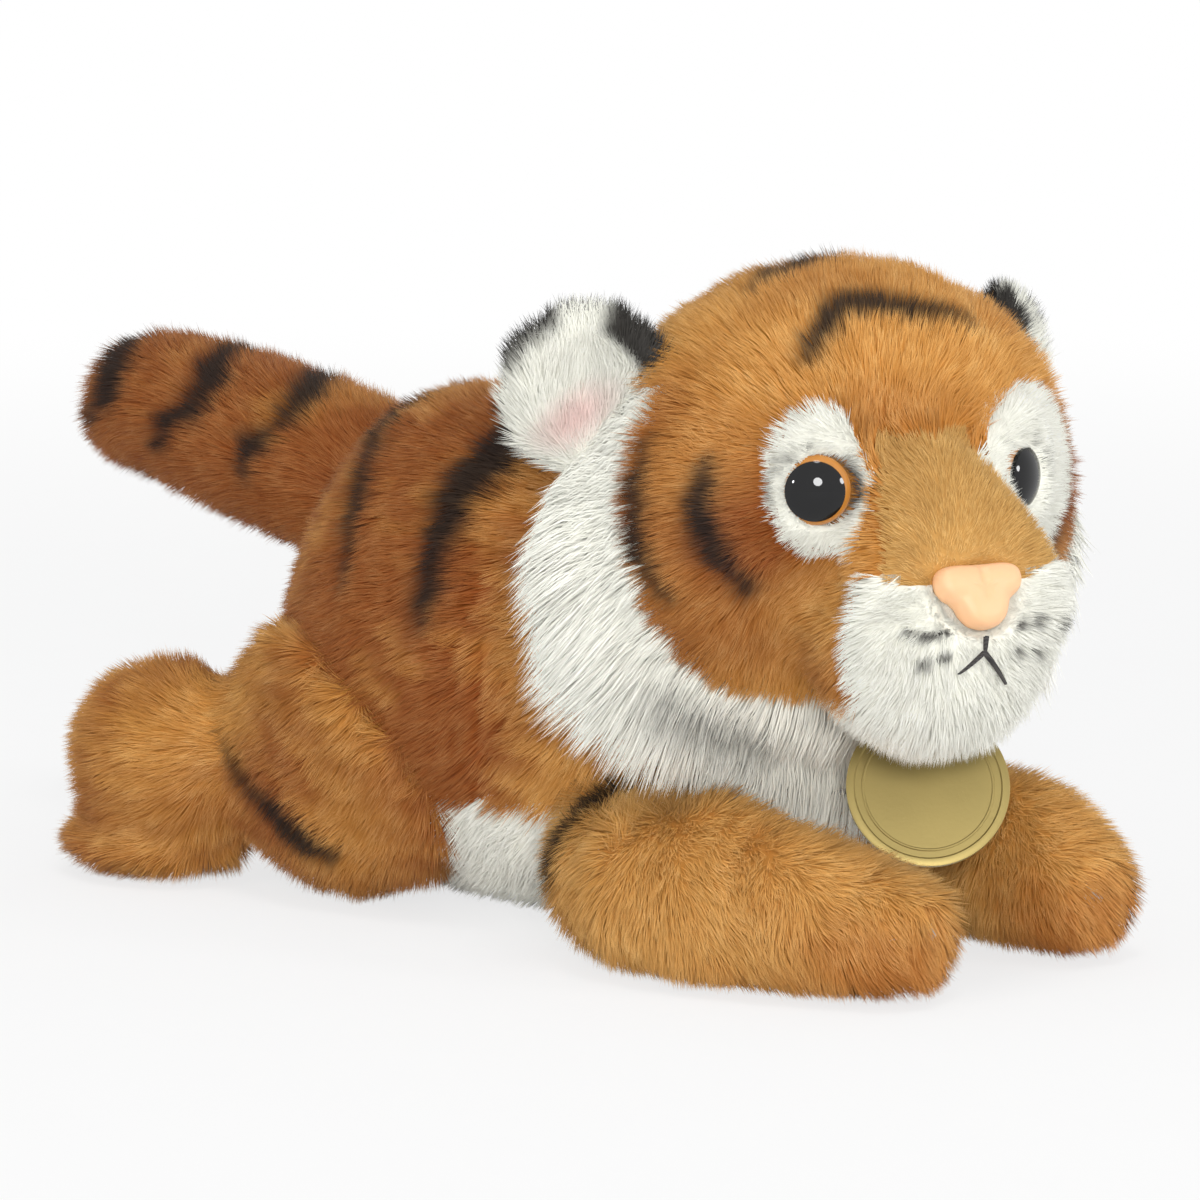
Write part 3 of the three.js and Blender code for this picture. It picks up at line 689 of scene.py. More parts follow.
def sewn_form(body):
    """Joins copies of a body's soft nodes, remeshes them and draws the cloth in below the pile."""
    if body in forms:
        return forms[body]
    recipe = RECIPES[body]
    copies = [linked_copy(frame["nodes"][node], f"{node}_copy") for node in recipe.nodes]
    only(*copies)
    bpy.ops.object.join()
    made = bpy.context.view_layer.objects.active
    made.name = f"form_{body}"
    with editing(made):
        bpy.ops.mesh.remove_doubles(threshold=1e-5)
    made.data.remesh_voxel_size = recipe.grain * MM
    made.data.use_remesh_preserve_volume = True
    bpy.ops.object.voxel_remesh()
    made = largest_part(made)
    apply_modifier(made, "SMOOTH", factor=0.5, iterations=6)
    move_to(made, fuller(body, values_of(made.data.vertices, "co", 3) / MM))
    outer = Form(body, made)
    draw_in(outer, recipe)
    apply_modifier(made, "SMOOTH", factor=0.5, iterations=4)
    forms[body] = Form(body, made)
    forms[body].skin = outer.places
    return forms[body]


def largest_part(made):
    """Drops the small bubbles that the gaps between nodes leave inside."""
    only(made)
    bpy.ops.mesh.separate(type="LOOSE")
    parts = sorted(bpy.context.selected_objects, key=lambda part: len(part.data.vertices))
    for part in parts[:-1]:
        bpy.data.objects.remove(part)
    return parts[-1]


def swell(local, middle, radius, push):
    """Moves places near a point by up to this push, less with distance."""
    far = np.linalg.norm(local - np.array(middle), axis=1)
    return local + np.exp(-((far / radius) ** 2))[:, None] * np.array(push)


def fuller(body, places):
    """Sculpts a body's outer form where the toy is fuller or more hollow than the CAD skins."""
    places = places.copy()
    tip = places[places[:, 1].argmin()].copy()
    if body == "torso":
        along = ramp(places[:, 1], -14, 8) * ramp(places[:, 1], 66, 40)
        places[:, 2] += BACK_RISE * along * ramp(places[:, 2], 40, 70)
    if body.endswith("_ear"):
        side = SIDES[body.removesuffix("_ear")]
        middle, axes = ear_frame(side)
        local = (places - middle) @ axes.T
        local[:, 1] -= EAR_FOLD * ramp(-side * local[:, 0], 0, 9)
        local[:, 0] *= 1 + EAR_WIDENING[0] + EAR_WIDENING[1] * ramp(local[:, 2], 2, -10)
        local[:, 0] -= side * EAR_SHIFT
        local[:, 2] *= EAR_HEIGHT_SHARE
        places = local @ axes + middle
    if body == "head":
        places = on_head(places)
    for spot in SWELLS.get(body, ()):
        places = swell(places, *spot)
    if body == "head":
        places = off_head(places) + HEAD_MIDDLE
    if body.endswith("_front_leg"):
        for groove in TOE_GROOVES:
            places = swell(places, tip + np.array(groove), TOE_GROOVE_RADIUS, (0, TOE_GROOVE_DEPTH, 0))
    return places


def ear_frame(side):
    """Middle and axes of an ear, in millimetres."""
    across, back, up = EAR_MIDDLE
    middle = HEAD_MIDDLE + off_head(np.array([[side * across, back, up]]))[0]
    return middle, turned(HEAD_TURN + side * EAR_SPLAY)


def draw_in(form, recipe):
    """Moves a form's cloth in below the pile, and its sewn root into the body that it is sewn to."""
    depth = np.full(len(form.places), bpy.context.scene.tiger_pile.root_depth / MM * recipe.draw_in)
    shares = np.array([DEPTH_SHARES.get(node, 1.0) for node in recipe.nodes])
    if np.any(shares != 1):
        depth *= shares[nearest_node(form.places, recipe.nodes)]
    if form.body == "head":
        depth *= near_face_parts(form.places, DEPTH_AT_EYES, DEPTH_AT_NOSE)
    through = np.full(len(form.places), 100.0)
    for i, (place, normal) in enumerate(zip(form.places, form.normals)):
        hit = form.tree.ray_cast(Vector(place - 0.2 * normal), Vector(-normal))
        if hit[0] is not None:
            through[i] = hit[3]
    moved = form.places - form.normals * np.minimum(depth, THIN_SHARE * through)[:, None]
    if recipe.sewn_to:
        other = sewn_form(recipe.sewn_to)
        for i, (place, normal) in enumerate(zip(form.places, form.normals)):
            near, out, _, far = other.tree.find_nearest(Vector(place))
            facing = np.clip(-FACING_SHARPNESS * float(out @ Vector(normal)), 0, 1)
            moved[i] += (np.array(near - out * SEWN_DEPTH) - moved[i]) * ramp(far, *ROOT_REACH) * facing
            moved[i] += (np.array(near) - moved[i]) * recipe.eased * ramp(far, *EASE_REACH) * (1 - facing)
    move_to(form.object, moved)


def near_face_parts(points, at_eyes, at_nose):
    """1 over the face, less at the eyes and nose: for each, the least value and how far it fades out."""
    total = 1
    for eye in EYES.values():
        total = total * (at_eyes[0] + (1 - at_eyes[0]) * beyond(points, eye["at"], EYE_RADIUS, at_eyes[1]))
    return total * (at_nose[0] + (1 - at_nose[0]) * beyond(points, NOSE_AT, NOSE_RADIUS, at_nose[1]))


def nearest_node(centres, nodes):
    """For each place, the index of the CAD node that it lies nearest to."""
    far = np.full((len(nodes), len(centres)), np.inf)
    for k, node in enumerate(nodes):
        tree = shape_of(frame["nodes"][node].data)[2]
        for i, centre in enumerate(centres):
            far[k, i] = tree.find_nearest(Vector(centre))[3]
    return far.argmin(0)


# Pile

# Marks kept on the pile: stripes, deeper orange that is partly painted shade, and pink blush
MARK_NAMES = ("stripe", "deep", "blush")
# Where lifted pile seems to face, how low it may hang, and how deep in another body none grows
UPWARDS = np.array([-0.3, -0.4, 0.85])
FLOOR_GAP = 0.25
BURIED_DEPTH = 4.0
# Sizes of the waves in the lay and lean of the pile, and how far single strands differ from it
BROAD_WAVE = 16.0
LEAN_WAVE = 11.0
FINE_WAVE = 5.5
LAY_SCATTER = 0.24
LEAN_SCATTER = 0.13
TIP_SCATTER = 0.1
SHADE_SCATTER = 0.09
LENGTH_RANGE = (0.75, 1.12)
WIDTH_RANGE = (0.75, 1.3)
LEAN_RANGE = (0.1, 1.35)
# A strand's lean in its lower and upper half, as shares of its whole lean, and the most that it bends
LOW_SHARE = 0.7
HIGH_SHARE = 1.35
MOST_BENT = 1.5
# How much thinner a strand is at its bend, and what its shading normals are mixed from
BEND_TAPER = 0.35
LIT_SHARE = 0.9
ROUND_SHARE = 0.26
POINT_SHARE = 0.15
# Primes that give each cell of tufts its own number
CELL_PRIMES = (73856093, 19349663, 83492791)
RING = [(math.cos(turn), math.sin(turn)) for turn in (0.0, math.tau / 3, math.tau * 2 / 3)]


@dataclass
class Coat:
    """How the pile of one piece grows. Rules take places and normals in millimetres."""

    length: float
    comb: callable
    lean: float = 52.0
    droop: float = 0.1
    density: float = 1.0
    width: float = 1.0
    clump: float = 0.35
    tuft: float = 1.9
    ruffle: float = 0.5
    bends: int = 1
    lift: float = 0.2
    marks: callable = None
    cut: callable = None
    clear: tuple = ()


def gathered(tips, roots, size, share, seed):
    """Draws the tips of neighbouring strands together into tufts."""
    cells = np.floor((roots + ripple(roots, size * 4, seed) * size * 0.6) / size).astype(np.int64)
    keys = np.bitwise_xor.reduce(cells * np.array(CELL_PRIMES), axis=1)
    _, which, counts = np.unique(keys, return_inverse=True, return_counts=True)
    middles = np.stack([np.bincount(which, tips[:, k]) for k in range(3)], 1) / counts[:, None]
    return tips + (middles[which] - tips) * share


def strand_roots(form, chosen, per_area, rng):
    """Places and normals spread evenly over the chosen faces of a form."""
    corners = form.places[form.faces[chosen]]
    area = np.linalg.norm(np.cross(corners[:, 1] - corners[:, 0], corners[:, 2] - corners[:, 0]), axis=1) / 2
    steps = np.cumsum(area * per_area)
    count = int(steps[-1])
    at = np.searchsorted(steps, (np.arange(count) + rng.random(count)) * (steps[-1] / count))
    at = np.minimum(at, len(steps) - 1)
    across, along = rng.random((2, count, 1))
    folded = across + along > 1
    across, along = np.where(folded, 1 - across, across), np.where(folded, 1 - along, along)
    picked = corners[at]
    roots = picked[:, 0] + (picked[:, 1] - picked[:, 0]) * across + (picked[:, 2] - picked[:, 0]) * along
    bent = form.normals[form.faces[chosen][at]]
    normals = unit(bent[:, 0] * (1 - across - along) + bent[:, 1] * across + bent[:, 2] * along)
    return roots, normals


def grow(form, chosen, coat, seed):
    """The strands of one piece: vertices, faces, shading normals and marks, in millimetres."""
    rng = np.random.default_rng(seed)
    settings = bpy.context.scene.tiger_pile
    sparse = 1.0
    roots, normals = strand_roots(form, chosen, settings.strands_per_mm2 * sparse * coat.density, rng)
    buried = np.zeros(len(roots), bool)
    for other in RECIPES:
        if other != form.body:
            buried |= sewn_form(other).holds(roots, BURIED_DEPTH)
    roots, normals = roots[~buried], normals[~buried]
    count = len(roots)

    # Which way each strand lies, and how far it leans over
    lay = coat.comb(roots, normals) + ripple(roots, BROAD_WAVE, seed + 1) * coat.ruffle
    lay = lay + ripple(roots, FINE_WAVE, seed + 7) * coat.ruffle * 0.7
    lay = lay + rng.normal(size=lay.shape) * LAY_SCATTER
    lay = unit(lay - (lay * normals).sum(1, keepdims=True) * normals)
    lean = math.radians(coat.lean) * (1 + 0.22 * ripple(roots, LEAN_WAVE, seed + 2)[:, :1])
    lean = np.clip(lean + rng.normal(0, LEAN_SCATTER, (count, 1)), *LEAN_RANGE)

    length = coat.length / MM * rng.uniform(*LENGTH_RANGE, (count, 1))
    if coat.cut:
        length = length * coat.cut(roots)[:, None]
    if form.body == "head":
        length = length * near_face_parts(roots, LENGTH_AT_EYES, LENGTH_AT_NOSE)[:, None]

    # The lower half stands up more than the upper half, which droops
    low = normals * np.cos(lean * LOW_SHARE) + lay * np.sin(lean * LOW_SHARE)
    bent = np.minimum(lean * HIGH_SHARE, MOST_BENT)
    high = normals * np.cos(bent) + lay * np.sin(bent)
    high = unit(high + np.array([0, 0, -1.0]) * coat.droop + rng.normal(size=high.shape) * TIP_SCATTER)
    middles = roots + low * length * 0.5
    tips = middles + high * length * 0.5
    tips = gathered(tips, roots, coat.tuft, coat.clump, seed + 3)
    middles = gathered(middles, roots, coat.tuft, coat.clump * 0.4, seed + 3)
    for clear in coat.clear:
        middles, tips = clear(middles), clear(tips)
    middles[:, 2] = np.maximum(middles[:, 2], FLOOR_GAP + 0.1)
    tips[:, 2] = np.maximum(tips[:, 2], FLOOR_GAP)
    radius = settings.strand_width / MM / 2 * coat.width * rng.uniform(*WIDTH_RANGE, (count, 1))
    radius = radius / math.sqrt(sparse)
    roots = roots - normals * CLOTH_THICKNESS / 2
    spine = [roots, middles, tips] if coat.bends == 2 else [roots, tips]
    return needles(spine, radius, normals, coat, rng)


def needles(spine, radius, normals, coat, rng):
    """Three-sided tapering strands along a spine of places, which ends in their points."""
    count = len(normals)
    bends = len(spine) - 1
    first = unit(spine[-1] - spine[0])
    side = unit(np.cross(first, rng.normal(size=first.shape)))
    other = np.cross(first, side)
    lit = unit(normals + UPWARDS * coat.lift)
    places, shown, along = [], [], []
    for level, place in enumerate(spine[:-1]):
        for across, up in RING:
            out = side * across + other * up
            places.append(place + out * radius * (1 - BEND_TAPER * level / bends))
            shown.append(lit * LIT_SHARE + out * ROUND_SHARE)
            along.append(level / bends)
    places.append(spine[-1])
    shown.append(lit * LIT_SHARE + first * POINT_SHARE)
    along.append(1.0)
    size = len(places)
    faces = []
    for level in range(bends - 1):
        for k in range(3):
            here, there = level * 3 + k, level * 3 + (k + 1) % 3
            faces += [(here, there, there + 3), (here, there + 3, here + 3)]
    faces += [(size - 4 + k, size - 4 + (k + 1) % 3, size - 1) for k in range(3)]
    starts = (np.arange(count) * size)[:, None, None]
    jitter = rng.normal(size=first.shape) * SHADE_SCATTER
    marks = {name: np.zeros((count, size)) for name in MARK_NAMES}
    if coat.marks:
        halfway = (spine[0] + spine[-1]) / 2 if bends == 1 else spine[1]
        for name, value in coat.marks(halfway, normals).items():
            marks[name][:, :size - 1] = value[:, None]
        for name, value in coat.marks(spine[-1], normals).items():
            marks[name][:, size - 1] = value
    return {
        "places": np.stack(places, 1).reshape(-1, 3),
        "faces": (starts + np.array(faces)[None]).reshape(-1, 3),
        "normals": unit(np.stack(shown, 1) + jitter[:, None]).reshape(-1, 3),
        "along": np.tile(along, count),
        "strand": np.repeat(rng.random(count), size),
        **{name: value.reshape(-1) for name, value in marks.items()},
    }


def cloth_patch(form, chosen, coat):
    """The cloth under one piece's pile: the form's chosen faces, with the cloth's thickness inwards."""
    made = linked_copy(form.object, "cloth")
    made.data.calc_loop_triangles()
    spare = np.ones(len(made.data.polygons), bool)
    spare[values_of(made.data.loop_triangles, "polygon_index", 1, np.int32)[chosen]] = False
    select_faces(made, spare)
    with editing(made, afresh=False):
        bpy.ops.mesh.delete(type="FACE")
    apply_modifier(made, "SOLIDIFY", thickness=CLOTH_THICKNESS * MM, offset=-1.0)
    normals = values_of(made.data.vertices, "normal", 3)
    places, faces, _ = shape_of(made.data)
    bpy.data.objects.remove(made)
    marks = {name: np.zeros(len(places)) for name in MARK_NAMES}
    if coat.marks:
        marks.update(coat.marks(places, normals))
    return {
        "places": places,
        "faces": faces.astype(np.int64),
        "normals": normals,
        # The cloth counts as the roots, so it takes the full painted root shade
        "along": np.zeros(len(places)),
        "strand": np.full(len(places), 0.5),
        **marks,
    }


def mesh_from(name, parts):
    """One mesh of several sets of arrays, with its shading normals and marks as attributes."""
    starts = np.cumsum([0] + [len(part["places"]) for part in parts])[:-1]
    places = np.concatenate([part["places"] for part in parts]) * MM
    faces = np.concatenate([part["faces"] + start for part, start in zip(parts, starts)]).astype(np.int32)
    mesh = bpy.data.meshes.new(name)
    mesh.vertices.add(len(places))
    mesh.vertices.foreach_set("co", places.astype(np.float32).ravel())
    mesh.loops.add(faces.size)
    mesh.loops.foreach_set("vertex_index", faces.ravel())
    mesh.polygons.add(len(faces))
    mesh.polygons.foreach_set("loop_start", np.arange(len(faces), dtype=np.int32) * 3)
    mesh.update(calc_edges=True)
    normals = np.concatenate([part["normals"] for part in parts]).astype(np.float32)
    mesh.attributes.new("custom_normal", "FLOAT_VECTOR", "POINT").data.foreach_set("vector", normals.ravel())
    for key in ("along", "strand", *MARK_NAMES):
        values = np.concatenate([part[key] for part in parts]).astype(np.float32)
        mesh.attributes.new(key, "FLOAT", "POINT").data.foreach_set("value", values)
    mesh.update()
    return mesh


def add_plush(name, body, nodes, coat, material, seed):
    """One sewn piece: its cloth with its pile, in place of the CAD nodes that it stands for."""
    form = sewn_form(body)
    order = skins_of(body)
    chosen = np.isin(face_owners(form), [order.index(node) for node in nodes])
    mesh = mesh_from(name, [cloth_patch(form, chosen, coat), grow(form, chosen, coat, seed)])
    mesh.materials.append(bpy.data.materials[material])
    made = bpy.data.objects.new(name, mesh)
    bpy.context.scene.collection.objects.link(made)
    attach(made, body)
    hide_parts(*nodes)


def skins_of(body):
    """The nodes of a form that its pile stands for: its skins, or its filling where it has none."""
    nodes = RECIPES[body].nodes
    return [node for node in nodes if not node.endswith(("_filling", "_pouch"))] or nodes


def face_owners(form):
    """Which skin each face of a form belongs to, looked up once."""
    if form.owners is None:
        order = skins_of(form.body)
        centres = form.skin[form.faces].mean(1)
        form.owners = nearest_node(centres, order)
        if form.body == "head":
            for owner, test, among in HEAD_SEAMS:
                given = np.isin(form.owners, [order.index(node) for node in among])
                form.owners[given & test(*on_head(centres).T)] = order.index(owner)
    return form.owners


# Seams of the head that differ from the CAD nodes' own edges. Each test takes places in the head's frame.

RUFF_EDGE = -4.0
RUFF_TOP = 17.5
MUZZLE_EDGE = -29.4
BRIDGE_TOP = 10.2
PAD_TOP = -10.2
# Right and left edges of the bridge at a height of 10, and how much each spreads from there downwards
BRIDGE_EDGES = (-7.2, 6.6)
BRIDGE_SPREADS = (0.28, 0.55)


def behind_muzzle(across, back, up):
    """Where the cheeks' orange covers the flanks of the muzzle."""
    return (back > MUZZLE_EDGE) & (up > -27) & (np.abs(across) > 9)


def beside_bridge(across, back, up):
    """The face on both sides of the nose bridge."""
    right = BRIDGE_EDGES[0] - (10 - up) * BRIDGE_SPREADS[0]
    left = BRIDGE_EDGES[1] + (10 - up) * BRIDGE_SPREADS[1]
    return (across < right) | (across > left) | (up > BRIDGE_TOP)


def on_bridge(across, back, up):
    """The gusset between the eyes, which widens down to the nose."""
    return ~beside_bridge(across, back, up) & (up > pad_top(across, back, up)) & (back < -15)


def under_bridge(across, back, up):
    """The tops of the muzzle's pads, beside the nose."""
    return (up < pad_top(across, back, up)) & (back < MUZZLE_EDGE)


def pad_top(across, back, up):
    """Height of the upper edge of the muzzle's white, which dips towards the nose."""
    points = off_head(np.stack([across, back, up], 1)) + HEAD_MIDDLE
    rough = 0.4 * ripple(points, 5.0, 8)[:, 0]
    return PAD_TOP + np.clip((np.abs(across) - 4.5) * 0.26, 0, 2.8) + rough


def round_left_eye(across, back, up):
    """The white round the left eye reaches further out."""
    return (np.hypot((across - 21) / 12, (up - 3.5) / 12.5) < 1) & (back < -6) & (across > 9)


def beside_right_eye(across, back, up):
    """The face between the right eye's patch and the nose bridge."""
    return across > -9.6 - np.abs(up - 4) * 0.3


def in_ruff(across, back, up):
    """Where the white of the ruff begins on the cheeks and under the chin."""
    across = np.abs(across)
    edge = RUFF_EDGE - np.where(up < -18, np.clip((22 - across) * 0.55, 0, 8), 0)
    return (back > edge) & (back < 10) & (up < RUFF_TOP) & ((across > 14) | (up < -15))


# Owner, where it reaches, and what it takes from, in this order
HEAD_SEAMS = (
    ("cheek_ruff", in_ruff, ("head_skin",)),
    ("head_skin", behind_muzzle, ("muzzle_skin",)),
    ("head_skin", beside_bridge, ("nose_bridge",)),
    ("nose_bridge", on_bridge, ("head_skin", "muzzle_skin", "left_eye_patch")),
    ("head_skin", beside_right_eye, ("right_eye_patch",)),
    ("muzzle_skin", under_bridge, ("nose_bridge", "head_skin")),
    ("left_eye_patch", round_left_eye, ("head_skin",)),
)


# How the pile lies on each piece

FACE_MIDDLE = np.array([0, -36.0, 0])
NOSE_MIDDLE = np.array([0, -41.0, -9.0])


def away_from(middle, droop=0.0, back=0.0):
    """Combed outwards from a point of the head."""

    def comb(roots, normals):
        return off_head(unit(on_head(roots) - middle) + np.array([0, back, -droop]))

    return comb


def along_way(*way):
    """Combed one way all over."""

    def comb(roots, normals):
        return np.tile(np.array(way, float), (len(roots), 1))

    return comb


def torso_lay(roots, normals):
    """Backwards along the spine, down the flanks and the chest."""
    chest = ramp(roots[:, 1], -12, -32)
    ways = np.zeros_like(roots)
    ways[:, 1] = 1 - 0.8 * chest
    ways[:, 2] = -0.35 - 0.5 * np.abs(normals[:, 0]) - 0.8 * chest
    return ways


def tail_lay(roots, normals):
    """Towards the tail's tip, falling over its end."""
    ways = np.zeros_like(roots)
    ways[:, 1] = 1
    ways[:, 2] = 0.25 - 0.9 * ramp(roots[:, 1], 92, 116)
    return ways


def ear_lay(side):
    """Fanned out from the ear's root."""
    middle, axes = ear_frame(side)

    def comb(roots, normals):
        return unit((roots - middle) @ axes.T - np.array([0, -2.0, -15.0])) @ axes

    return comb


def kept_off(middle, facing, radius, height):
    """Combs strands out from in front of a round part, such as an eye, of this radius and half height."""
    middle, facing = np.array(middle), unit(np.array(facing))
    up = unit(np.array([0, 0, 1.0]) - facing * facing[2])

    def clear(points):
        away = points - middle
        out = away - (away @ facing)[:, None] * facing
        rise = (out @ up)[:, None] * up
        far = np.maximum(np.linalg.norm(out - rise + rise * (radius / height), axis=1), 1e-6)
        grown = np.where((far < radius) & (away @ facing > -6), radius / far, 1.0)
        return points + out * (grown - 1)[:, None]

    return clear


OFF_EYES = [kept_off(eye["at"], eye["facing"], eye["bare"], eye["bare"]) for eye in EYES.values()]
OFF_NOSE = [kept_off(NOSE_AT, NOSE_FACING, *NOSE_BARE)]


# How each coat is cut


def eye_corner(local):
    """1 in the hollow between the right eye's patch and the nose bridge, less around it."""
    across, back, up = local.T
    return np.exp(-((across + 10.6) / 1.8) ** 2 - ((up + 1) / 8.0) ** 2) * (back < -16)


def crown_cut(roots):
    """Short pile in the hollow beside the bridge."""
    return 1 - 0.55 * eye_corner(on_head(roots))


def ruff_cut(roots):
    """Shorter pile where the ruff meets the face and the ears."""
    across, back, up = on_head(roots).T
    from_face = ramp(back, RUFF_EDGE, RUFF_EDGE + 9)
    throat = 0.6 * ramp(np.abs(across), 18, 10) * ramp(up, -20, -26)
    hanging = 0.3 * ramp(up, -14, -22) * from_face
    return (0.5 + 0.5 * from_face + throat + hanging) * (1 - 0.72 * ramp(roots[:, 2], 60, 82))


def mouth_cut(roots):
    """Shorter pile beside the embroidered mouth, so that its thread shows, and a longer beard under it."""
    across, back, up = on_head(roots).T
    far = np.abs(np.abs(across) - np.clip(-up - 20, 0, 4.6))
    beside = (up > -25.5) & (up < -15) & (back < -30) & (far < 1.4)
    return np.where(beside, 0.5, 1 + 0.5 * ramp(up, -24, -31))


# Airbrushed marks

# How deep paint reaches, how its edge falls off, and a distance that no paint reaches
PAINT_DEPTH = 6
PAINT_EDGE = 1.3
OUT_OF_REACH = 99


def near_path(points, normals, path, soft):
    """How strongly a painted line of points (x, y, z, half width) covers each place of the coat."""
    best = np.zeros(len(points))
    path = np.array(path, float)
    for start, end in zip(path, path[1:]):
        step = end[:3] - start[:3]
        share = np.clip(((points - start[:3]) @ step) / max(step @ step, 1e-9), 0, 1)
        gap = points - start[:3] - share[:, None] * step
        depth = (gap * normals).sum(1)
        far = np.linalg.norm(gap - depth[:, None] * normals, axis=1)
        far = far + np.where(np.abs(depth) > PAINT_DEPTH, OUT_OF_REACH, 0)
        reach = start[3] + (end[3] - start[3]) * share
        best = np.maximum(best, np.clip((reach + soft / 2 - far) / soft, 0, 1))
    return best ** PAINT_EDGE


def mirrored(paths):
    """The same paths on the left side of the body."""
    return [[(-x, y, z, half) for x, y, z, half in path] for path in paths]


def mirrored_on_head(paths):
    """The same paths on the left side of the turned head."""
    other = []
    for path in paths:
        local = on_head(np.array([point[:3] for point in path])) * np.array([-1, 1, 1])
        places = off_head(local) + HEAD_MIDDLE
        other.append([(*place, point[3]) for place, point in zip(places, path)])
    return other


def striped(paths, soft=2.6, strength=0.96, fray=1.0, wide=1.0, rest=None):
    """Marks of a coat with these stripes, and with the marks of another rule."""

    def marks(points, normals):
        frayed = points + (ripple(points, 7.0, 91) * 0.9 + ripple(points, 2.4, 92) * 0.35) * fray
        stripe = np.zeros(len(points))
        for path in paths:
            path = [(x, y, z, half * wide) for x, y, z, half in path]
            stripe = np.maximum(stripe, near_path(frayed, normals, path, soft))
        found = {"stripe": stripe * strength}
        if rest:
            found.update(rest(points, normals))
        return found

    return marks


def deep_dye_and_shade(level, clouded=0.52, paler_ahead=0.0, toes=0.0):
    """Marks where the coat is deeper orange: clouds of its deeper dye, and painted shade that makes it deeper
    underneath than on top.
    """

    def marks(points, normals):
        clouds = ripple(points, 24.0, 5)[:, 0] + 0.5 * ripple(points, 6.0, 7)[:, 0]
        ahead = ramp(points[:, 1], 6, -16)
        on_toes = ramp(points[:, 1], -62, -76) * np.clip((20 - points[:, 2]) / 10, 0.2, 1)
        base = level - paler_ahead * ahead + toes * on_toes
        # Painted shade: deeper where the cloth faces down, less where it faces up
        return {"deep": np.clip(base + clouded * clouds - 0.3 * normals[:, 2], 0, 1)}

    return marks


def face_deep_dye_and_shade(points, normals):
    """Deeper orange round the eyes and down the cheeks, with painted shade in the hollow between the right
    eye's patch and the nose bridge.
    """
    local = on_head(points)
    cheek = ramp(np.abs(local[:, 0]), 10, 24) * ramp(local[:, 2], 18, 6)
    # The hollow beside the bridge gets painted shade
    side = np.maximum(cheek, 0.9 * eye_corner(local))
    return {"deep": np.clip(0.04 + 0.75 * side + 0.42 * ripple(points, 24.0, 6)[:, 0], 0, 1)}


def ear_marks(side):
    """Pink low in the ear's cup, and black corners on its rim."""
    middle, axes = ear_frame(side)

    def marks(points, normals):
        across, _, up = ((points - middle) @ axes.T).T
        from_blush = np.hypot((across - side * 0.6) / 6.5, (up + 2.5 + side * across * 0.5) / 3.8)
        inner = ramp(-side * across, 0, 6)
        rim = np.clip((np.hypot(across / 13, up / 12) - 0.81 + 0.07 * inner) / 0.1, 0, 1)
        from_top = np.abs(np.degrees(np.arctan2(up, across)) - 88)
        corners = ramp(from_top, 12, 22) * ramp(from_top, 78, 66)
        return {"blush": np.clip(1.3 - from_blush, 0, 1) * 0.55, "stripe": rim * corners * 0.97}

    return marks


def round_line(eye, radius, start, stop, widths):
    """A painted line round an eye between two angles, counted from its right side upwards."""
    facing = np.array(eye["facing"])
    across, up = np.array([-facing[1], facing[0], 0]), np.array([0, 0, 1.0])
    line = []
    for turn, wide in zip(np.radians(np.linspace(start, stop, len(widths))), widths):
        place = np.array(eye["at"]) + radius * (math.cos(turn) * across + math.sin(turn) * up)
        line.append((*(place - facing * 0.5), wide))
    return line


EYE_LINES = [
    round_line(EYES["right"], 5.4, 200, 105, (0.3, 0.5, 0.6, 0.4)),
    round_line(EYES["right"], 5.6, 75, -35, (0.3, 0.6, 1.0, 1.3, 0.6)),
    round_line(EYES["left"], 4.6, 110, 0, (0.4, 0.7, 0.9, 0.9, 0.3)),
]

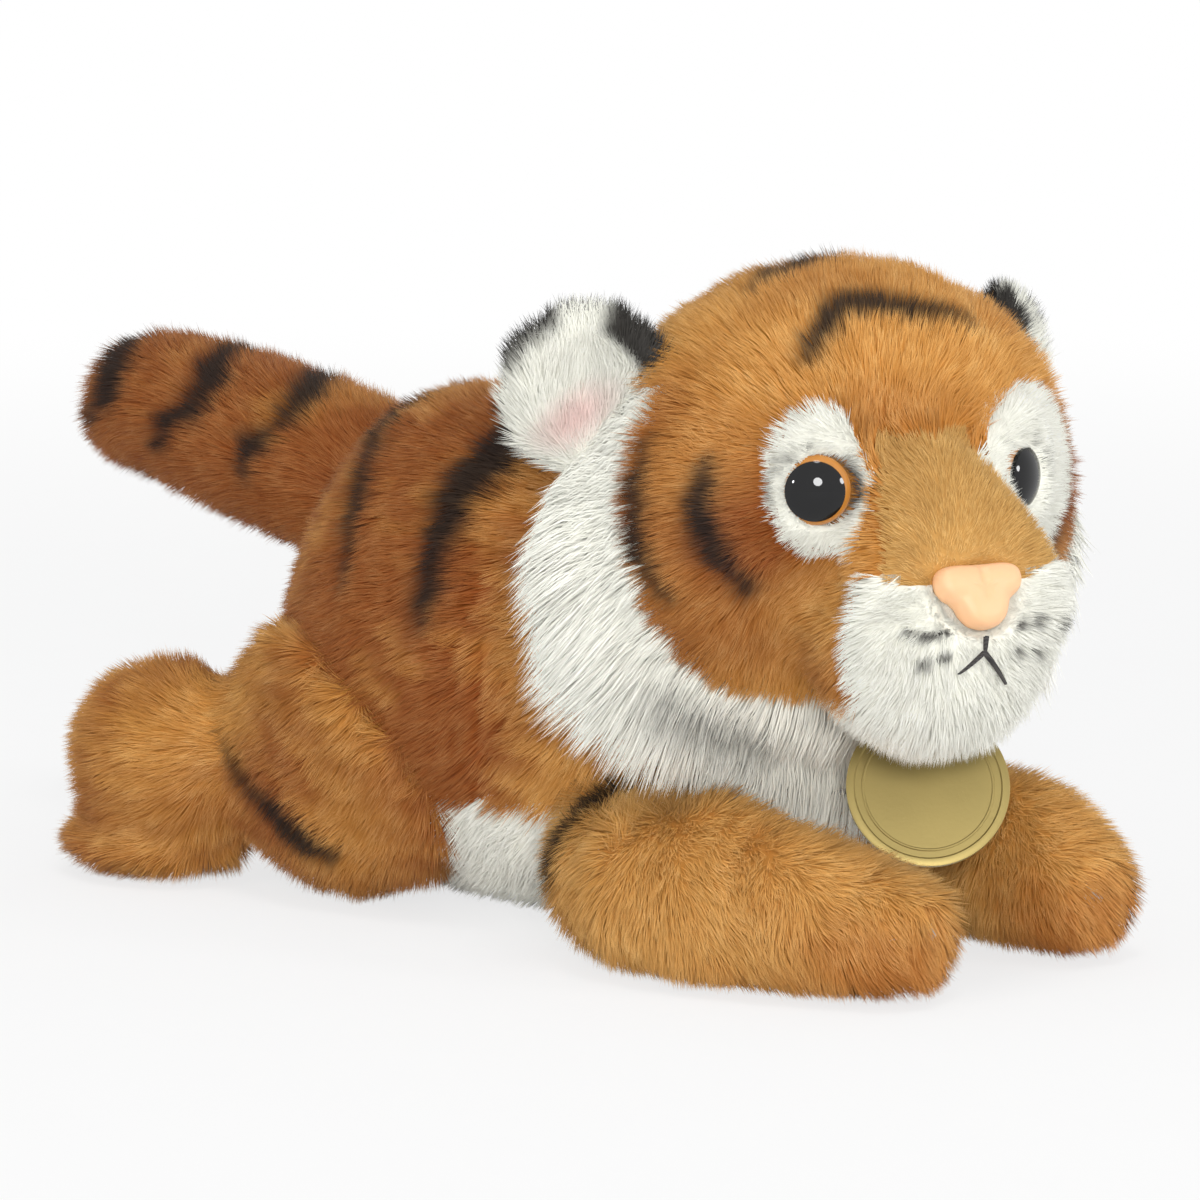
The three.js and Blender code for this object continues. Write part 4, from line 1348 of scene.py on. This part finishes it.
# Airbrushed lines on the right side, each a row of (x, y, z, half width)
STRIPES = {
    "torso": [
        [(0, 31.5, 75, 1), (-8.1, 32.6, 73.6, 1.5), (-13.4, 32.5, 71, 1.8), (-23.4, 28.2, 63.2, 1.8),
         (-28.8, 26.2, 54.6, 1.4), (-30.6, 25.4, 50.2, 0.8)],
        [(0, 3, 75.5, 1.4), (-8, 4, 74, 2.2), (-15, 5.3, 71.3, 3), (-18.9, 6.2, 68.5, 3.2),
         (-23.2, 7.6, 64.9, 3), (-27.9, 7.7, 57.8, 2.2), (-30.7, 7.4, 50.5, 1.8), (-31.8, 7.3, 46.9, 1.2)],
        [(0, -14, 73.5, 1.6), (-9, -13.5, 72, 2.2), (-18, -13, 66.5, 2.4), (-26, -13, 58, 1.6)],
        [(0, 49, 70, 1), (-8, 49, 68, 1.5), (-16, 47, 62, 1.2)],
    ],
    "thigh": [
        [(-31.8, 51.9, 24, 0.8), (-33.2, 47.9, 20.7, 1.2), (-33.4, 45.1, 17.6, 1.4), (-34.4, 40, 15.1, 2),
         (-34.2, 36.8, 13.3, 2.8), (-33.1, 32.3, 10.2, 2.8), (-32.5, 27.4, 8.5, 1.8)],
    ],
    "front_leg": [
        [(-32.8, -20, 12, 1.2), (-32.8, -20.8, 15.1, 1.8), (-32.1, -21.5, 18.8, 2), (-30.4, -22.5, 22, 1.9),
         (-28.4, -23.7, 23.8, 1.5), (-26.6, -25.5, 25.2, 1.2), (-21.6, -28, 25.9, 0.8)],
    ],
    "tail": [
        [(6, 86, 80.5, 1.6), (-4.1, 84.7, 81.1, 2.4), (-9.7, 80.6, 77, 2.6), (-11.9, 82.6, 73.9, 2.4),
         (-12.8, 87.2, 71, 1.8), (-12.3, 91.5, 65.8, 1.2)],
        [(8, 68, 77, 1.4), (1.7, 66, 79, 2.2), (-5.4, 61.5, 76.6, 2.6), (-11.1, 61.4, 72, 1.6),
         (-12.7, 63.6, 70.2, 1.5), (-13.3, 66.8, 68.2, 1.9), (-13.6, 68.7, 63.9, 1.4)],
        [(3, 109.5, 81, 1.8), (-3.1, 109.5, 81.2, 2.8), (-7, 108, 79.5, 3.4), (-9.8, 106, 76.8, 3.4),
         (-10.8, 106, 72.9, 2.6)],
        [(-9.5, 109.7, 70.9, 1.4), (-6.6, 112.9, 68, 1.4)],
        [(12, 90, 72, 1.6), (12, 96, 66, 1.2)],
        [(12.5, 62, 72, 1.8), (13, 66, 65, 1.4)],
        [(11, 106, 76, 2), (9, 110, 70, 1.6)],
    ],
    "crown": [
        [(-23, -62.4, 91.9, 1), (-20.5, -62.4, 94.3, 1.6), (-17.6, -62.2, 96.5, 1.9),
         (-14.1, -61.8, 98.7, 2.1), (-8.3, -64.2, 99.2, 2.2), (-3.1, -67.1, 97.9, 1.9),
         (2.5, -68.9, 96.4, 1.4), (5.8, -69.7, 95.6, 0.8)],
        [(-18.2, -47.4, 100.1, 0.9), (-12.4, -46.8, 101.6, 1.7), (-6, -47.7, 102.5, 1.9),
         (2, -49, 102.6, 1.6)],
    ],
    "cheek": [
        [(-38.1, -46.1, 79.2, 0.9), (-38.8, -44.7, 74.2, 1.5), (-39.1, -44.3, 67.9, 2),
         (-38.2, -44.2, 62.8, 2), (-37.5, -45.8, 59.3, 1.6), (-35.7, -47.7, 56.5, 1)],
        [(-35.8, -55.9, 77.3, 0.9), (-36.7, -55, 72.8, 1.8), (-36.8, -54.9, 68.6, 2.2),
         (-35.6, -55.7, 65, 2.2), (-34.3, -57, 62.2, 1.8), (-32, -58.9, 59.5, 1.4), (-30.8, -58.9, 57, 0.9)],
    ],
    "ruff": [
        [(-30.5, -41.7, 40.2, 1.6), (-24.9, -43.2, 36.9, 2.4), (-19, -45.5, 34.2, 2.4),
         (-13.7, -47.4, 33.1, 1.6)],
    ],
    "muzzle": [
        [(-23.4, -82.5, 54, 0.6), (-22.4, -83.6, 53.7, 0.6)],
        [(-21.9, -84.3, 53.3, 0.8), (-20.8, -85.2, 53.6, 0.8)],
        [(-20.3, -85.9, 54, 0.8), (-19, -86.8, 54.2, 0.8)],
        [(-22.4, -84.5, 49, 0.7), (-21.5, -85.2, 49.3, 0.7)],
        [(-20.1, -86.8, 50.1, 0.7), (-19.1, -87.4, 50.2, 0.7)],
        [(-7.2, -89.7, 54.1, 0.7), (-6, -89.7, 54.3, 0.7)],
        [(-3.5, -89.1, 54, 0.8), (-2.3, -88.9, 54.2, 0.8)],
        [(2.7, -86.1, 53.3, 0.9), (3.9, -85.3, 53.4, 0.9)],
        [(-7.8, -90.6, 50.3, 0.7), (-6.6, -90.4, 50.1, 0.7)],
        [(-3.7, -89.7, 49.6, 0.7), (-2.6, -89.4, 49.4, 0.7)],
    ],
}


# Sewn pieces


class TIGER_OT_torso(bpy.types.Operator):
    """Add the orange shell of back and sides, the neck's cover and the white belly"""

    bl_idname = "tiger.torso"
    bl_label = "Torso"

    def execute(self, context):
        pile = context.scene.tiger_pile
        stripes = STRIPES["torso"] + mirrored(STRIPES["torso"])
        back = Coat(
            pile.coat_length, torso_lay,
            marks=striped(stripes, soft=3.6, wide=1.45, rest=deep_dye_and_shade(1.15, paler_ahead=0.95)),
        )
        add_plush("torso_plush", "torso", ["torso_skin"], back, "orange_pile", 11)
        neck = Coat(pile.coat_length, torso_lay, lean=45, marks=deep_dye_and_shade(0.7))
        add_plush("neck_plush", "neck", ["neck_filling"], neck, "orange_pile", 13)
        belly = Coat(pile.coat_length * 0.8, torso_lay, density=0.55, width=1.3, lift=0.5)
        add_plush("belly_plush", "torso", ["belly_panel"], belly, "white_pile", 12)
        return {"FINISHED"}


class TIGER_OT_head(bpy.types.Operator):
    """Add the crown and cheeks, the ruff, the muzzle, the nose bridge and the eye patches"""

    bl_idname = "tiger.head"
    bl_label = "Head"

    def execute(self, context):
        pile = context.scene.tiger_pile
        crown, cheeks = STRIPES["crown"], STRIPES["cheek"] + mirrored_on_head(STRIPES["cheek"])
        face = Coat(
            pile.face_length, away_from(FACE_MIDDLE, 0.15, 0.2), lean=50, density=1.1,
            marks=striped(crown + cheeks, wide=1.25, rest=face_deep_dye_and_shade), cut=crown_cut, clear=OFF_EYES,
        )
        add_plush("head_plush", "head", ["head_skin"], face, "orange_pile", 21)
        ruff = Coat(
            pile.ruff_length, away_from(FACE_MIDDLE, 0.55, 0.75), lean=55, droop=0.45, density=0.72,
            lift=0.75, width=0.95, clump=0.42, tuft=2.4, bends=2, cut=ruff_cut,
            marks=striped(STRIPES["ruff"] + mirrored_on_head(STRIPES["ruff"]), soft=5.0, strength=0.75),
        )
        add_plush("ruff_plush", "head", ["cheek_ruff"], ruff, "white_pile", 22)
        muzzle = Coat(
            pile.muzzle_length, away_from(NOSE_MIDDLE, 0.35, 0.1), lean=38, density=1.1, lift=0.45,
            marks=striped(STRIPES["muzzle"], soft=1.1, strength=0.97, fray=0.3),
            cut=mouth_cut, clear=OFF_NOSE,
        )
        add_plush("muzzle_plush", "head", ["muzzle_skin"], muzzle, "white_pile", 23)
        bridge = Coat(
            pile.bridge_length, away_from(NOSE_MIDDLE, 0.0, 0.4), lean=50, density=1.3, width=0.85,
            clump=0.2, clear=OFF_NOSE + OFF_EYES,
        )
        add_plush("bridge_plush", "head", ["nose_bridge"], bridge, "tan_pile", 24)
        patch = Coat(
            pile.patch_length, away_from(FACE_MIDDLE, 0.1, 0.1), lean=48, density=1.4, width=0.85, clump=0.2,
            marks=striped(EYE_LINES, soft=1.3, strength=0.9, fray=0.25), clear=OFF_EYES,
        )
        patches = ["right_eye_patch", "left_eye_patch"]
        add_plush("eye_patch_plush", "head", patches, patch, "white_pile", 25)
        return {"FINISHED"}


class TIGER_OT_ears(bpy.types.Operator):
    """Add the two ears, black behind and white within"""

    bl_idname = "tiger.ears"
    bl_label = "Ears"

    def execute(self, context):
        pile = context.scene.tiger_pile
        for seed, (name, side) in enumerate(SIDES.items()):
            ear = f"{name}_ear"
            fan, marks = ear_lay(side), ear_marks(side)
            back, lining = f"{ear}_back", f"{ear}_lining"
            coat = Coat(pile.coat_length * 0.8, fan, lean=48, density=1.2)
            add_plush(f"{back}_plush", ear, [back], coat, "black_pile", 31 + seed)
            coat = Coat(pile.ear_length, fan, lean=58, density=1.2, clump=0.3, marks=marks)
            add_plush(f"{lining}_plush", ear, [lining], coat, "ear_pile", 33 + seed)
        return {"FINISHED"}


class TIGER_OT_legs(bpy.types.Operator):
    """Add the front legs, the thighs and the hind feet"""

    bl_idname = "tiger.legs"
    bl_label = "Legs"

    def execute(self, context):
        length = context.scene.tiger_pile.coat_length
        for seed, name in enumerate(SIDES):
            on_side = mirrored if name == "left" else list
            # Front legs: the brighter pile, painted light, with little deep orange and deeper toes
            front_marks = striped(
                on_side(STRIPES["front_leg"]), wide=1.9, rest=deep_dye_and_shade(-0.05, clouded=0.28, toes=0.75)
            )
            thigh_marks = striped(on_side(STRIPES["thigh"]), wide=1.2, rest=deep_dye_and_shade(0.6))
            front = Coat(length, along_way(0, -0.7, -0.8), lift=0.35, marks=front_marks)
            thigh = Coat(length, along_way(0, 0.55, -1), marks=thigh_marks)
            foot = Coat(length * 1.05, along_way(0, 1, -0.3), marks=deep_dye_and_shade(0.42))
            for part, leg, coat, material, first in (
                ("front_leg", "front_leg", front, "leg_pile", 41),
                ("thigh", "hind_leg", thigh, "orange_pile", 43),
                ("foot", "hind_leg", foot, "orange_pile", 45),
            ):
                piece = f"{name}_{part}"
                add_plush(
                    f"{piece}_plush", f"{name}_{leg}", [f"{piece}_skin"], coat, material,
                    first + seed,
                )
        return {"FINISHED"}


class TIGER_OT_tail(bpy.types.Operator):
    """Add the tail with its dark rings"""

    bl_idname = "tiger.tail"
    bl_label = "Tail"

    def execute(self, context):
        rings = striped(STRIPES["tail"], soft=3.2, wide=1.5, rest=deep_dye_and_shade(1.3))
        coat = Coat(context.scene.tiger_pile.coat_length * 1.1, tail_lay, marks=rings)
        add_plush("tail_plush", "tail", ["tail_skin"], coat, "orange_pile", 51)
        return {"FINISHED"}


# Hard parts

# The eyes' ring and pupil: radius and height of the dome, how far its rim reaches back, and where it is cut
EYE_RIM = 0.5
RING_DOME = (5.0, 2.8, EYE_RIM, 0.0)
PUPIL_DOME = (5.07, 2.87, 0.6, 2.85)


def add_dome(name, radius, height, rim, cut):
    """A round cap on a short rim: a flattened ball cut at a height, its edge drawn back and closed."""
    made = added(bpy.ops.mesh.primitive_uv_sphere_add, name, segments=64, ring_count=32, radius=radius * MM)
    with editing(made):
        bpy.ops.mesh.bisect(plane_co=(0, 0, cut * MM), plane_no=(0, 0, 1), clear_inner=True, use_fill=False)
        bpy.ops.mesh.select_all(action="SELECT")
        bpy.ops.transform.resize(value=(1, 1, height / radius))
        bpy.ops.transform.translate(value=(0, 0, EYE_RIM * MM))
        bpy.ops.mesh.select_all(action="DESELECT")
        bpy.ops.mesh.select_non_manifold()
        bpy.ops.mesh.extrude_region_move(TRANSFORM_OT_translate={"value": (0, 0, -rim * MM)})
        bpy.ops.mesh.edge_face_add()
        bpy.ops.mesh.select_all(action="SELECT")
        bpy.ops.mesh.normals_make_consistent(inside=False)
    bpy.ops.object.shade_smooth_by_angle(angle=math.radians(40))
    return made


def mark_foot(made):
    """Stores how near each place of the amber ring is to its foot, where the plastic looks darker."""
    heights = values_of(made.data.vertices, "co", 3)[:, 2] / MM
    layer = made.data.attributes.new("foot", "FLOAT", "POINT")
    layer.data.foreach_set("value", ramp(heights, 1.6, 0.4).astype(np.float32))


class TIGER_OT_eyes(bpy.types.Operator):
    """Add the amber rings and black pupils of the safety eyes"""

    bl_idname = "tiger.eyes"
    bl_label = "Eyes"

    def execute(self, context):
        for name, eye in EYES.items():
            place = placed_by(eye["at"], eye["facing"])
            ring = add_dome(f"{name}_eye_ring", *RING_DOME)
            mark_foot(ring)
            finish_hard(ring, f"{name}_eye_lens", "head", "amber_gloss", place)
            pupil = add_dome(f"{name}_eye_pupil_dome", *PUPIL_DOME)
            finish_hard(pupil, f"{name}_eye_pupil", "head", "black_gloss", place)
        return {"FINISHED"}


# Left half of the nose's outline in shares of its half width and half height, from top to bottom
NOSE_EDGE = [
    (0, 0.95), (-0.45, 1.0), (-0.82, 0.97), (-1.0, 0.72), (-1.0, 0.3), (-0.86, 0.02), (-0.62, -0.12),
    (-0.55, -0.45), (-0.4, -0.82), (0, -1.0),
]
NOSE_OUTLINE = NOSE_EDGE + [(-across, up) for across, up in NOSE_EDGE[-2:0:-1]]
NOSE_HALF_WIDTH = 6.9
NOSE_HALF_HEIGHT = 4.9
NOSE_FOOT = -4.4
NOSE_HEIGHT = 4.7
NOSE_RIM = 1.1


class TIGER_OT_nose(bpy.types.Operator):
    """Add the moulded nose with its groove and nostrils"""

    bl_idname = "tiger.nose"
    bl_label = "Nose"

    def execute(self, context):
        add_circle = bpy.ops.mesh.primitive_circle_add
        made = added(add_circle, "nose_cap", vertices=len(NOSE_OUTLINE), radius=1.0, fill_type="NGON")
        for vertex, (across, up) in zip(made.data.vertices, NOSE_OUTLINE):
            vertex.co = (across * NOSE_HALF_WIDTH * MM, up * NOSE_HALF_HEIGHT * MM, NOSE_FOOT * MM)
        with editing(made):
            bpy.ops.mesh.extrude_region_move(TRANSFORM_OT_translate={"value": (0, 0, NOSE_HEIGHT * MM)})
            bpy.ops.mesh.inset(thickness=NOSE_RIM * MM, depth=0.75 * MM)
            bpy.ops.mesh.inset(thickness=NOSE_RIM * 0.9 * MM, depth=0.35 * MM)
            bpy.ops.mesh.select_all(action="SELECT")
            bpy.ops.mesh.normals_make_consistent(inside=False)
        apply_modifier(made, "SUBSURF", levels=3, render_levels=3)
        for vertex in made.data.vertices:
            x, y, z = (c / MM for c in vertex.co)
            if z > 0:
                groove = math.exp(-(x / 0.55) ** 2) * min(1, max(0, (y + 0.8) / 2.5)) * 0.5
                nostril = math.exp(-((abs(x) - 3.9) / 1.1) ** 2 - ((y - 0.1) / 0.9) ** 2) * 0.12
                vertex.co.z -= (groove + nostril) * MM
        only(made)
        bpy.ops.object.shade_smooth()
        place = placed_by(NOSE_AT, NOSE_FACING)
        finish_hard(made, "nose_button", "head", "peach_moulding", place)
        return {"FINISHED"}


# Strokes of the mouth as (across, up) in the head's frame
MOUTH_STROKES = (
    [(-0.2, -16.5), (-0.3, -17.1), (-0.4, -17.8), (-0.5, -18.4), (-0.6, -19.0)],
    [(-0.6, -18.6), (-1.6, -19.4), (-2.6, -20.2), (-3.5, -20.9), (-4.4, -21.5)],
    [(-0.7, -18.6), (0.3, -19.8), (1.4, -21.0), (2.5, -22.3), (3.4, -23.5)],
)
# Threads of a stroke: how far each lies to the side, how deep, and how much thinner it ends
MOUTH_THREADS = ((0.0, 0.0, 0.0), (0.13, 0.1, 0.3), (-0.12, 0.12, 0.5))
THREAD_RADIUS = 0.3
THREAD_HEIGHT = 0.75


def add_thread(skin, stroke, aside, depth, thinner):
    """One embroidery thread, laid over the CAD skin of the muzzle."""
    made = added(bpy.ops.curve.primitive_nurbs_path_add, "thread")
    curve = made.data
    curve.bevel_depth = THREAD_RADIUS * MM
    curve.bevel_resolution = 3
    curve.resolution_u = 8
    curve.use_fill_caps = True
    curve.splines[0].use_endpoint_u = True
    inwards = Vector(off_head(np.array([0, 1.0, 0])))
    for k, (across, up) in enumerate(stroke):
        start = off_head(np.array([across + aside, -60.0, up + aside * 0.4])) + HEAD_MIDDLE
        hit = skin.ray_cast(Vector(start), inwards)[0]
        if hit is None:
            raise RuntimeError("a stroke of the mouth misses the muzzle")
        point = curve.splines[0].points[k]
        point.co = (*((hit - inwards * (THREAD_HEIGHT - depth)) * MM), 1)
        point.radius = 1.0 - (0.55 + 0.3 * thinner) * (k / 4) ** 2
    return made


class TIGER_OT_mouth(bpy.types.Operator):
    """Add the embroidered mouth, three threads to a stroke"""

    bl_idname = "tiger.mouth"
    bl_label = "Mouth"

    def execute(self, context):
        skin = shape_of(frame["nodes"]["muzzle_skin"].data)[2]
        threads = [add_thread(skin, stroke, *thread) for stroke in MOUTH_STROKES for thread in MOUTH_THREADS]
        only(*threads)
        bpy.ops.object.convert(target="MESH")
        bpy.ops.object.join()
        bpy.ops.object.shade_smooth()
        made = context.view_layer.objects.active
        made.name = "mouth_embroidery"
        finish_hard(made, "mouth_thread", "head", "mouth_stitch")
        return {"FINISHED"}


TAG_AT = (-2.4, -68.9, 28.2)
TAG_AXES = ((0.7071, -0.7071, 0), (0.2988, 0.2988, 0.9063), (-0.6409, -0.6409, 0.4226))
TAG_RADIUS = 11.75
TAG_THICKNESS = 0.8
TAG_HOLE_RADIUS = 1.3
TAG_HOLE_UP = 9.15
# Width and rise of each step of the tag's face, from its edge inwards
TAG_STEPS = ((0.3, 0.1), (0.75, 0.0), (0.22, -0.2), (0.9, 0.0), (0.12, 0.1), (0.2, 0.0), (0.12, -0.1))


class TIGER_OT_tag(bpy.types.Operator):
    """Add the round gold tag with its plain raised rim"""

    bl_idname = "tiger.tag"
    bl_label = "Tag"

    def execute(self, context):
        add_disc = bpy.ops.mesh.primitive_cylinder_add
        made = added(add_disc, "tag_card", vertices=96, radius=TAG_RADIUS * MM, depth=TAG_THICKNESS * MM)
        select_faces(made, [face.normal.z > 0.9 for face in made.data.polygons])
        with editing(made, afresh=False):
            for width, rise in TAG_STEPS:
                bpy.ops.mesh.inset(thickness=width * MM, depth=rise * MM)
        hole = {"radius": TAG_HOLE_RADIUS * MM, "location": (0, TAG_HOLE_UP * MM, 0)}
        punch = added(add_disc, "punch", vertices=48, depth=5 * TAG_THICKNESS * MM, **hole)
        apply_modifier(made, "BOOLEAN", operation="DIFFERENCE", solver="EXACT", object=punch)
        bpy.data.objects.remove(punch)
        only(made)
        bpy.ops.object.shade_smooth_by_angle(angle=math.radians(28))
        finish_hard(made, "tag_disc", "tag", "gold_foil", in_frame(TAG_AT, TAG_AXES))
        return {"FINISHED"}


# Stage

# Place, size and share of the key power of each lamp
LAMPS = {
    "front_lamp": ((-0.98, -1.09, 0.42), 0.42, 1.25),
    "side_lamp": ((-1.45, 0.13, 0.42), 0.14, 0.32),
    "right_lamp": ((0.45, -1.4, 0.45), 0.3, 0.6),
    "top_lamp": ((-0.3, -0.4, 1.45), 0.4, 0.55),
}
LAMP_TARGET = (0, 0, 0.05)
CAMERA_TARGET = (0, 0, 0.042)
CAMERA_DISTANCE = 0.75
CAMERA_AZIMUTH = math.radians(-45)
CAMERA_ELEVATION = math.radians(8.5)
CAMERA_LENS = 146.9
CAMERA_SHIFT = 0.0333


class TIGER_OT_stage(bpy.types.Operator):
    """Add the pale floor, the soft light and the camera"""

    bl_idname = "tiger.stage"
    bl_label = "Stage"

    def execute(self, context):
        stage = context.scene.tiger_stage
        add_floor(stage.floor_size)
        light_world(stage.sky)
        for name, (place, size, share) in LAMPS.items():
            lamp = bpy.data.lights.new(name, "AREA")
            lamp.shape = "DISK"
            lamp.size = size
            lamp.energy = stage.key_power * share
            aimed(name, lamp, place, LAMP_TARGET)
        add_camera()
        context.scene.view_settings.view_transform = "Standard"
        return {"FINISHED"}


def aimed(name, data, place, target):
    """Adds a lamp or a camera that points at a target."""
    made = bpy.data.objects.new(name, data)
    made.location = place
    made.rotation_euler = (Vector(target) - Vector(place)).to_track_quat("-Z", "Y").to_euler()
    bpy.context.scene.collection.objects.link(made)
    return made


def seen_directly(paint):
    """1 where the camera, a mirror or glass sees the surface, else 0."""
    camera = paint.node("ShaderNodeLightPath", output="Is Camera Ray")
    return camera.most(camera.beside("Is Glossy Ray")).most(camera.beside("Is Transmission Ray"))


def add_floor(size):
    """A sheet of pale paper that fades to white away from the cub."""
    floor = added(bpy.ops.mesh.primitive_plane_add, "floor", size=size)
    paint = new_paint("floor_paper")
    grain = paint.noise(60.0, 4.0)
    colour = paint.mix((0.86, 0.86, 0.86), (0.89, 0.89, 0.89), grain)
    paper = paint.node("ShaderNodeBsdfPrincipled", inputs={"Base Color": colour, "Roughness": 0.95})
    glow = paint.node("ShaderNodeEmission", inputs={"Color": (1.0, 1.0, 1.0), "Strength": 1.0})
    far = paint.node("ShaderNodeVectorMath", {"operation": "LENGTH"}, {0: paint.place()}, output="Value")
    faded = paint.node(
        "ShaderNodeMapRange",
        {"interpolation_type": "SMOOTHSTEP"},
        {"Value": far, "From Min": 0.2, "From Max": 1.1, "To Min": 0.74, "To Max": 1.0},
    )
    mixed = paint.node("ShaderNodeMixShader", inputs={0: seen_directly(paint) * faded, 1: paper, 2: glow})
    paint.node("ShaderNodeOutputMaterial", inputs={"Surface": mixed})
    floor.data.materials.append(paint.owner)


def light_world(strength):
    """Even light on the cub, and white behind it."""
    world = bpy.data.worlds.new("studio")
    bpy.context.scene.world = world
    paint = Paint(world)
    seen = seen_directly(paint)
    soft = paint.node("ShaderNodeBackground", inputs={"Color": (0.98, 0.99, 1.0), "Strength": strength})
    white = paint.node("ShaderNodeBackground", inputs={"Color": (1.0, 1.0, 1.0), "Strength": 1.0})
    mixed = paint.node("ShaderNodeMixShader", inputs={0: seen, 1: soft, 2: white})
    paint.node("ShaderNodeOutputWorld", inputs={"Surface": mixed})


def add_camera():
    """The photograph's camera."""
    camera = bpy.data.cameras.new("camera")
    camera.sensor_width = 36
    camera.lens = CAMERA_LENS
    camera.shift_y = CAMERA_SHIFT
    camera.clip_start = 0.01
    level = Vector((math.sin(CAMERA_AZIMUTH), -math.cos(CAMERA_AZIMUTH), 0)) * math.cos(CAMERA_ELEVATION)
    way = level + Vector((0, 0, math.sin(CAMERA_ELEVATION)))
    place = Vector(CAMERA_TARGET) + way * CAMERA_DISTANCE
    bpy.context.scene.camera = aimed("camera", camera, place, CAMERA_TARGET)


# The add-on


class TIGER_PT_panel(bpy.types.Panel):
    """Lists the pieces in the order in which they are added"""

    bl_label = "Plush Tiger"
    bl_idname = "TIGER_PT_panel"
    bl_space_type = "VIEW_3D"
    bl_region_type = "UI"
    bl_category = "Plush Tiger"

    def draw(self, context):
        layout = self.layout
        for group in SETTINGS:
            box = layout.box()
            settings = getattr(context.scene, group)
            for key in settings.__annotations__:
                box.prop(settings, key)
        for operator in OPERATORS:
            layout.operator(operator.bl_idname)


SETTINGS = {
    "tiger_pile": PileSettings,
    "tiger_colours": ColourSettings,
    "tiger_face": FaceSettings,
    "tiger_stage": StageSettings,
}
OPERATORS = (
    TIGER_OT_materials,
    TIGER_OT_torso,
    TIGER_OT_head,
    TIGER_OT_ears,
    TIGER_OT_legs,
    TIGER_OT_tail,
    TIGER_OT_eyes,
    TIGER_OT_nose,
    TIGER_OT_mouth,
    TIGER_OT_tag,
    TIGER_OT_stage,
)


def register():
    for kind in (*SETTINGS.values(), *OPERATORS, TIGER_PT_panel):
        bpy.utils.register_class(kind)
    for name, kind in SETTINGS.items():
        setattr(bpy.types.Scene, name, bpy.props.PointerProperty(type=kind))


def unregister():
    for name in SETTINGS:
        delattr(bpy.types.Scene, name)
    for kind in reversed((*SETTINGS.values(), *OPERATORS, TIGER_PT_panel)):
        bpy.utils.unregister_class(kind)


def remove_forms():
    """Takes the helper forms away once every piece has been cut from them."""
    for form in forms.values():
        bpy.data.objects.remove(form.object)
    forms.clear()


def main():
    register()
    bpy.ops.tiger.materials()
    bpy.ops.tiger.torso()
    bpy.ops.tiger.head()
    bpy.ops.tiger.ears()
    bpy.ops.tiger.legs()
    bpy.ops.tiger.tail()
    bpy.ops.tiger.eyes()
    bpy.ops.tiger.nose()
    bpy.ops.tiger.mouth()
    bpy.ops.tiger.tag()
    bpy.ops.tiger.stage()
    remove_forms()


if __name__ == "__main__":
    main()
